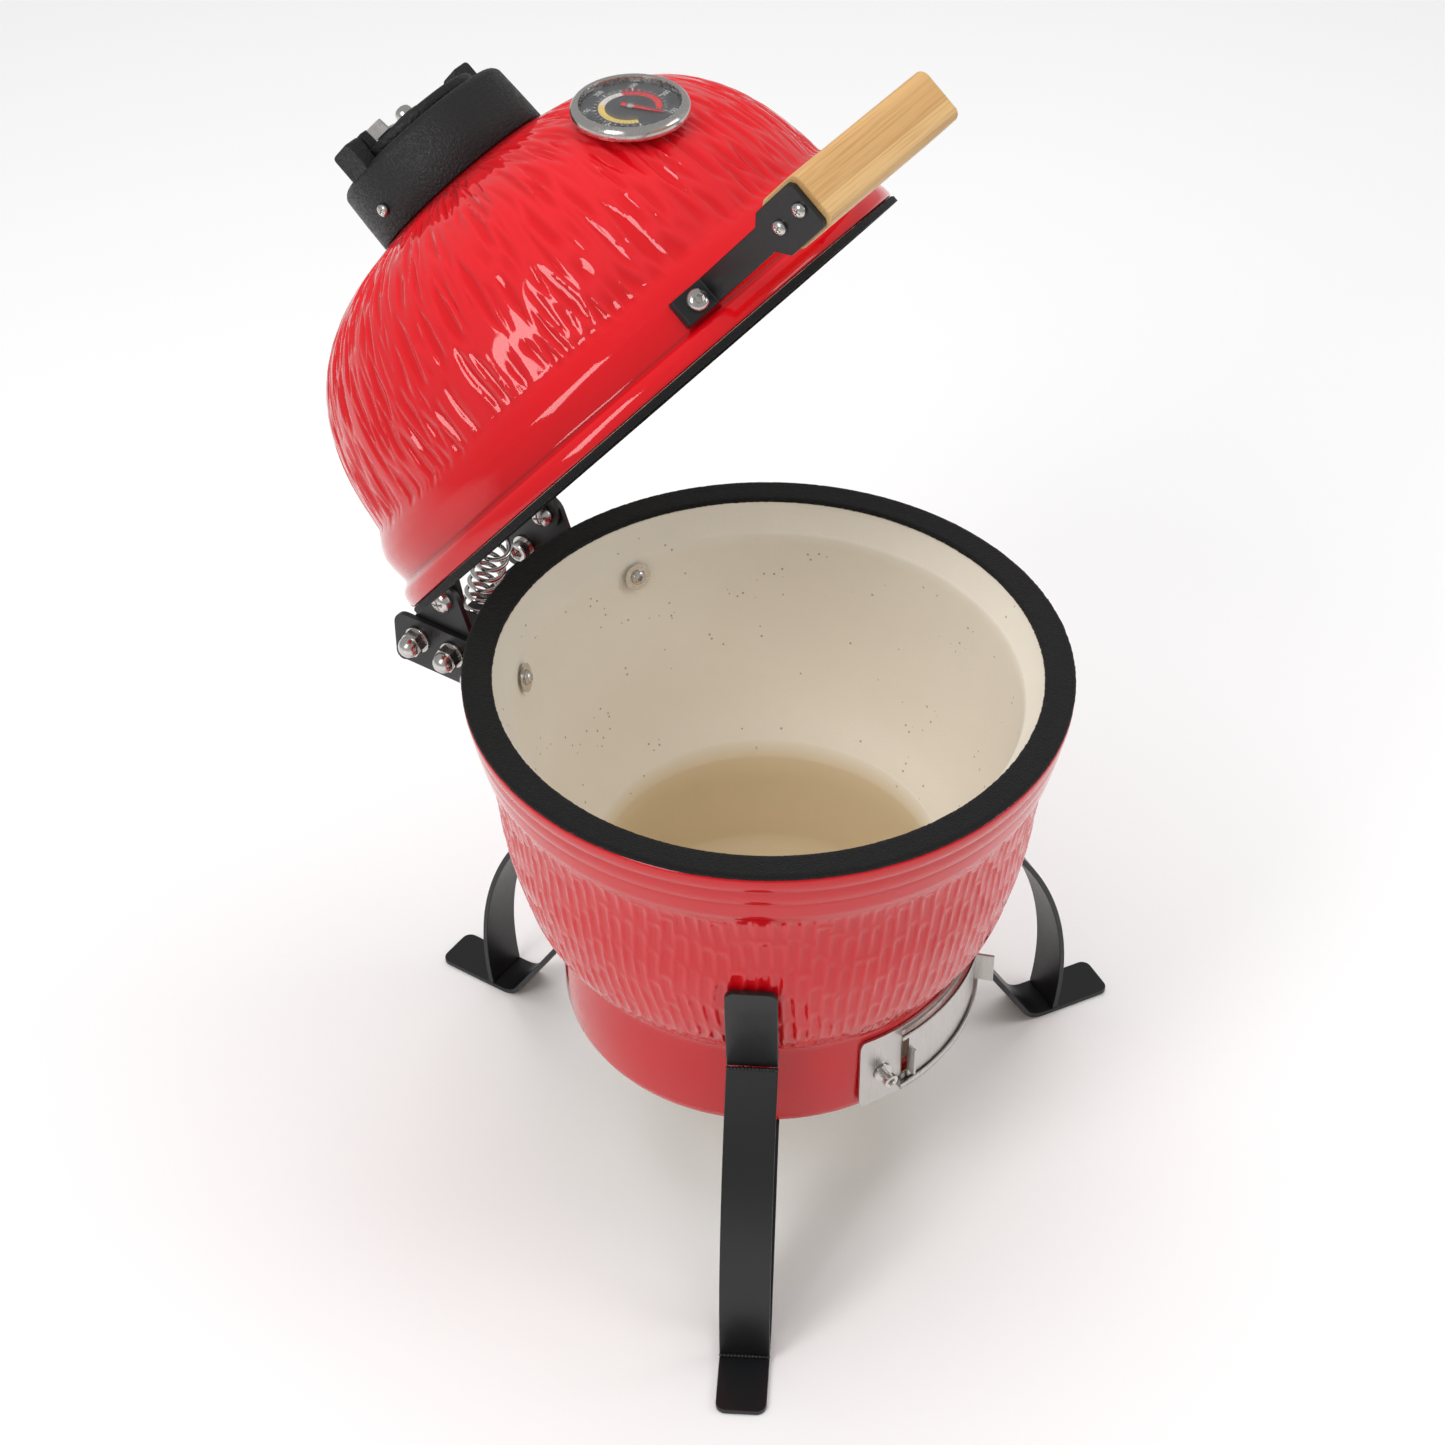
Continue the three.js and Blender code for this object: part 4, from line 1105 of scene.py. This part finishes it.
for side, name in ((-1, "left"), (1, "right")):
    sideways = Matrix.Rotation(side * math.pi / 2, 4, "Y")
    for number, back in enumerate(yoke_bolts_y, 1):
        spot = bowl_place @ Matrix.Translation((0, back * mm, -yoke_bolt_drop * mm)) @ sideways
        dome_nut(f"yoke nut {name} {number}", spot @ Matrix.Translation((0, 0, flange_seat * mm)), "base",
                 f"dome_nut_{name}_{number}")
        head = [(0, -10), (6.6, -10), (7.4, -9.3), (7.5, -1.9), (9.5, -1.9), (9.5, -0.3), (4.8, -0.3),
                (4.8, 8), (0, 8)]
        inner = spot @ Matrix.Translation((0, 0, arm_x * mm))
        bolt = turned(f"yoke bolt {name} {number}", head, inner, stainless, steps=40)
        hex_socket(bolt, 4.2, -12, -5.5, inner)
        add(bolt, "base", "stainless", f"yoke_bolt_{name}_{number}")
    through = (bowl_place @ Matrix.Rotation(math.radians(90 - side * bolt_angle), 4, "Z")
               @ Matrix.Translation((168.8 * mm, 0, -bolt_drop * mm))
               @ Matrix.Rotation(math.radians(90 + wall_slope), 4, "Y"))
    inward = through @ Matrix.Rotation(math.pi, 4, "X") @ Matrix.Translation((0, 0, 1.3 * mm))
    button_bolt(f"bowl bolt {name}", 5.5, 4.0, 35.2, inward, "base", f"bowl_bolt_{name}", washer=10)
    nut = prism(7.5, 33.9, 39.5)
    spun([(0, 39.3), (6.2, 39.3), (6.2, 40.6), (5.4, 43.2), (3.4, 44.9), (0, 45.5)], 32, bm=nut)
    add(rounded(new_piece(f"bowl nut {name}", nut, through, stainless), 0.35), "base", "stainless")

    lid_bolt = lid_place @ level(90 - side * 10.5, 33.5) @ Matrix.Translation((0, 0, 199.6 * mm))
    button_bolt(f"lid hinge bolt {name}", 7.0, 4.0, 46.6, lid_bolt, "lid", f"lid_hinge_bolt_{name}")
    lid_axis = lid_place @ level(90 - side * 10.5, 33.5)
    add(flat_nut(f"lid hinge nut {name}", 7.6, 10, 152.5, lid_axis), "lid", "stainless")
    seat_x = arm_x + sheet + 0.3 if side < 0 else -(arm_x - 0.3 - sheet - 0.3)
    seat = Matrix.Translation(pivot + Vector((-seat_x * mm, 0, 0)))
    pan_screw(f"pivot screw pan {name}", 8.5, 4.0, 10.6, seat @ Matrix.Rotation(-math.pi / 2, 4, "Y"),
              "base", f"pivot_screw_{name}", tall=6.8)
print("yoke bolts at", yoke_bolts_y, "mm, arms at", arm_x, "mm")

# %% [markdown]
# ## Spring
#
# The spring is a true helix: a small circle spun round an axis while it climbs. It is fixed to
# the yoke below and pressed by the lid's bracket above, and it is put on neither body.

# %% Hinge spring
wire_radius, coil_radius, coil_turns = 1.7, 10.8, 6.5
spring_foot = rim_middle + Vector((0, 246, -60)) * mm
spring_top = rim_middle + Vector((0, 225, 10)) * mm


def make_spring():
    length = (spring_top - spring_foot).length / mm
    bm = bmesh.new()
    ring = bmesh.ops.create_circle(bm, segments=12, radius=wire_radius)["verts"]
    bmesh.ops.rotate(bm, verts=ring, matrix=Matrix.Rotation(math.pi / 2, 3, "X"))
    bmesh.ops.translate(bm, verts=ring, vec=(coil_radius, 0, 0))
    steps = int(32 * coil_turns)
    bmesh.ops.spin(bm, geom=bm.verts[:] + bm.edges[:], axis=(0, 0, 1), cent=(0, 0, 0), steps=steps,
                   angle=2 * math.pi * coil_turns, dvec=(0, 0, length / steps))
    rims = [edge for edge in bm.edges if len(edge.link_faces) < 2]
    bmesh.ops.holes_fill(bm, edges=rims, sides=0)
    aim = (spring_top - spring_foot).to_track_quat("Z", "Y").to_matrix().to_4x4()
    return new_piece("hinge coil", bm, Matrix.Translation(spring_foot) @ aim, spring_steel, smooth=70)


spring = make_spring()
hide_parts("hinge_spring")
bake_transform(spring)
print("spring length:", round((spring_top - spring_foot).length / mm, 1), "mm")

# %% [markdown]
# ## Draft door
#
# A bent stainless plate is bolted over the air hole in the base, and a panel with folded pulls
# slides round it. Both are strips of a ring, so each is a small rectangle spun part of the way.

# %% Draft door
plate_inner, plate_outer = 146.6, 148.6
panel_inner, panel_outer = 149.4, 151.0
door_low, door_high = -287, -225


def ring_strip(bm, r0, r1, z0, z1, start, end, steps=24):
    """A strip of a ring between two angles from the front, added to the bmesh."""
    section = [(r0, z0), (r1, z0), (r1, z1), (r0, z1)]
    return merge(bm, spun(section, steps, True, start - 90, end - 90))


door_frame = ring_strip(bmesh.new(), plate_inner, plate_outer, door_low, door_high, -31, 31, 48)
bmesh.ops.remove_doubles(door_frame, verts=door_frame.verts, dist=1e-4)


def sheet_corner(edge, *turns):
    """The short edges through a curved sheet at its corners, at given angles from the front."""
    one, two = (vert.co for vert in edge.verts)
    through = abs(math.hypot(one.x, one.y) - math.hypot(two.x, two.y)) > 1 and abs(one.z - two.z) < 0.1
    here = math.degrees(math.atan2(one.x, -one.y))
    return through and any(abs(here - turn) < 0.2 for turn in turns)


corner_edges = [edge for edge in door_frame.edges if sheet_corner(edge, -31, 31)]
print("corners of the door plate:", len(corner_edges))
round_edges(door_frame, corner_edges, 8.0, 6)
frame_piece = new_piece("door frame plate", door_frame, bowl_place, door_sheet)
opening = new_piece("opening tool", spun([(140, -274), (152, -274), (152, -236), (140, -236)], 20, True,
                                         -107.5, -78), bowl_place, door_sheet)
carved(frame_piece, opening)
rails = bmesh.new()
rail_lip, rail_outer = panel_outer + 1, panel_outer + 2.5
for low, high, lip_low, lip_high in ((-231, -229.5, -234, -229.5), (-282, -280.5, -282, -277.5)):
    ring_strip(rails, plate_outer - 1, rail_outer, low, high, -19, 28)
    ring_strip(rails, rail_lip, rail_outer, lip_low, lip_high, -19, 28)
add(frame_piece, "base", "stainless", "draft_door_frame")
add(rounded(new_piece("door rails", rails, bowl_place, door_sheet), 0.3), "base", "stainless")

door_panel = ring_strip(bmesh.new(), panel_inner, panel_outer, -279.5, -232, -16, 21.5, 30)
bmesh.ops.remove_doubles(door_panel, verts=door_panel.verts, dist=1e-4)
round_edges(door_panel, [edge for edge in door_panel.edges if sheet_corner(edge, -16)], 6.0, 5)
add(rounded(new_piece("door panel", door_panel, bowl_place, door_sheet), 0.3), "draft_panel", "stainless",
    "draft_door_panel")
pulls = bmesh.new()
ring_strip(pulls, panel_outer - 1, panel_outer + 14, -262, -238, 20.8, 21.5, 1)
ring_strip(pulls, panel_outer - 1, panel_outer + 6, -270, -246, -16, -15.3, 1)
add(rounded(new_piece("door pulls", pulls, bowl_place, door_sheet), 0.25), "draft_panel", "stainless")

door_bolt_angle, door_bolt_z = 24.1, -260
left_bolt = bowl_place @ level(-90 - door_bolt_angle, door_bolt_z)
bolt_line = [(0, 128), (3, 128), (3, 148.9), (7, 148.9), (7, 150.4), (3.2, 150.4), (3.2, 156.4),
             (5.1, 156.4), (5.2, 160.2), (4.7, 160.6), (0, 160.6)]
bolt = turned("door bolt", bolt_line, left_bolt, stainless, steps=36)
hex_socket(bolt, 2.9, 158, 162, left_bolt)
add(bolt, "base", "stainless", "draft_door_bolt_left")
add(turned("door bolt flush", [(0, 128), (3, 128), (3, 148.8), (0, 148.8)],
           bowl_place @ level(-90 + door_bolt_angle, door_bolt_z), stainless, steps=24),
    "base", "stainless", "draft_door_bolt_right")

# %% [markdown]
# ## Stand
#
# Each leg is three lengths of flat bar: a hook that lies against the bowl, a bowed strap, and a
# foot that runs out along the ground and back up under the base. They are welded together, and
# the weld beads show through the powder coat.

# %% Straps
strap_width, strap_thick = 35, 4
rim_height = rim_middle.z / mm
base_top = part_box("stand_hub")[1].z / mm
arch_radius, arch_middle = 225, (18.5, 43)
weld_spot = (166, rim_height - 213)


def strap(name, line, angle, round_end=False):
    """A flat bar bent along the line: swept to its width, then thickened to one side."""
    bm = bmesh.new()
    verts = [bm.verts.new((-strap_width / 2, r, z)) for r, z in line]
    edges = [bm.edges.new(pair) for pair in zip(verts, verts[1:])]
    swept = bmesh.ops.extrude_edge_only(bm, edges=edges)
    far = [item for item in swept["geom"] if isinstance(item, bmesh.types.BMVert)]
    bmesh.ops.translate(bm, verts=far, vec=(strap_width, 0, 0))
    bm.normal_update()
    run = Vector(line[1]) - Vector(line[0])
    if next(iter(verts[0].link_faces)).normal.dot(Vector((0, run.y, -run.x))) < 0:
        bmesh.ops.reverse_faces(bm, faces=bm.faces)
    if round_end:
        tip = Vector(line[-1])
        ends = [vert for vert in bm.verts if (vert.co.yz - tip).length < 0.01]
        bmesh.ops.bevel(bm, geom=ends, offset=7.0, segments=5, profile=0.5, affect="VERTICES",
                        material=-1)
    turn = Matrix.Rotation(math.radians(angle - 90), 4, "Z")
    bar = new_piece(name, bm, stand_place @ turn, black_steel, smooth=35, sheet_side=True)
    thick = bar.modifiers.new("thickness", "SOLIDIFY")
    thick.thickness = strap_thick * mm
    thick.offset = 1
    thick.use_even_offset = True
    return rounded(bar, 0.6)


def rounded_bend(before, corner, after, radius, count=6):
    """Points round the inside of a bend."""
    corner, before, after = Vector(corner), Vector(before), Vector(after)
    one, two = (before - corner).normalized(), (after - corner).normalized()
    start, end = corner + one * radius, corner + two * radius
    return [tuple(start.lerp(corner, t).lerp(corner.lerp(end, t), t)) for t in
            (i / count for i in range(count + 1))]


hook_top, hook_mid, hook_low = ((185.2, rim_height - 120), (182.6, rim_height - 136),
                                (175.6, rim_height - 165))
hook_foot = (weld_spot[0] - 3.5, weld_spot[1] + 2)
hook_line = ([hook_foot] + rounded_bend(hook_foot, hook_low, hook_mid, 5)
             + rounded_bend(hook_low, hook_mid, hook_top, 4) + [hook_top])
arch_start = math.atan2(weld_spot[1] - 1.5 - arch_middle[1], weld_spot[0] - arch_middle[0])
arch_end = math.asin((strap_thick + 0.6 - arch_middle[1]) / arch_radius)
arch_line = [(arch_middle[0] + arch_radius * math.cos(a), arch_middle[1] + arch_radius * math.sin(a))
             for a in (arch_end + (arch_start - arch_end) * i / 40 for i in range(41))]
foot_inner, foot_outer, strut_top = 221, 291, 147
foot_line = ([(24.3, base_top)]
             + rounded_bend((24.3, base_top), (strut_top - 2, base_top), (foot_inner + 2, strap_thick), 10)
             + rounded_bend((strut_top - 2, base_top), (foot_inner + 2, strap_thick),
                            (foot_outer, strap_thick), 10)
             + [(foot_outer, strap_thick)])


def weld_bead(name, spots, radius, angle):
    """A row of overlapping lumps along a joint, across the strap."""
    bm = bmesh.new()
    lumps = 14
    for r, z in spots:
        for i in range(lumps):
            made = bmesh.ops.create_icosphere(bm, subdivisions=2, radius=radius)["verts"]
            across = -strap_width / 2 + 1.5 + (strap_width - 3) * i / (lumps - 1)
            size = 0.9 + 0.25 * noise.noise(Vector((across * 0.7, r, z)))
            bmesh.ops.scale(bm, verts=made, vec=(1.0, size, size))
            bmesh.ops.translate(bm, verts=made, vec=(across, r, z))
    turn = Matrix.Rotation(math.radians(angle - 90), 4, "Z")
    return new_piece(name, bm, stand_place @ turn, black_steel, smooth=60)


for leg, angle in (("back", 90), ("front_left", -150), ("front_right", -30)):
    words = leg.replace("_", " ")
    add(strap(f"hook bar {words}", hook_line, angle, round_end=True), "base", "black_steel",
        f"leg_hook_{leg}")
    add(strap(f"bowed strap {words}", arch_line, angle), "base", "black_steel", f"leg_strap_{leg}")
    add(strap(f"foot bar {words}", foot_line, angle, round_end=True), "base", "black_steel",
        f"foot_strap_{leg}")
    foot_joint = (arch_line[0][0] + 4.6, strap_thick + 1.0)
    top_joint = (weld_spot[0] + 3.2, weld_spot[1] + 1.5)
    add(weld_bead(f"weld beads {words}", (foot_joint, top_joint), 1.9, angle), "base", "black_steel")

add(turned("hub plate", [(0, base_top - 4), (23.4, base_top - 4), (24, base_top - 3.4),
                         (24, base_top - 0.6), (23.4, base_top), (0, base_top)], stand_place, black_steel,
           steps=48), "base", "black_steel", "stand_hub")
print("three legs, feet reach", foot_outer, "mm out")

# %% [markdown]
# ## Finishes of the model's own nodes
#
# Every node has a new piece in its place. The nodes get the finishes of their slots as well, so
# the model would look right with any of them shown.

# %% Finishes for the nodes
node_finish = {"stainless": stainless, "black_steel": black_steel, "cast_iron": cast_iron,
               "felt": felt, "red_glaze": red_glaze, "clear_glass": clear_glass,
               "needle_red": needle_red, "bamboo": bar_piece.data.materials[0],
               "dial_face": dial_piece.data.materials[0]}
slots = {part["node"]: part["material_slot"] for part in frame["record"]["subparts"]}
for name, node in frame["nodes"].items():
    node.data.materials.clear()
    node.data.materials.append(node_finish[slots[name]])
print("nodes with a finish:", len(slots))

# %% [markdown]
# ## Floor
#
# A plain pale floor under the feet.

# %% Floor
ground = bmesh.new()
bmesh.ops.create_grid(ground, x_segments=1, y_segments=1, size=4000)
floor_white = finish("pale floor", (0.98, 0.98, 0.98), 0.9)
floor = new_piece("floor", ground, Matrix.Translation((0, 0, -0.4 * mm)), floor_white)
print("floor faces:", len(floor.data.polygons))

# %% End
print("all pieces made")
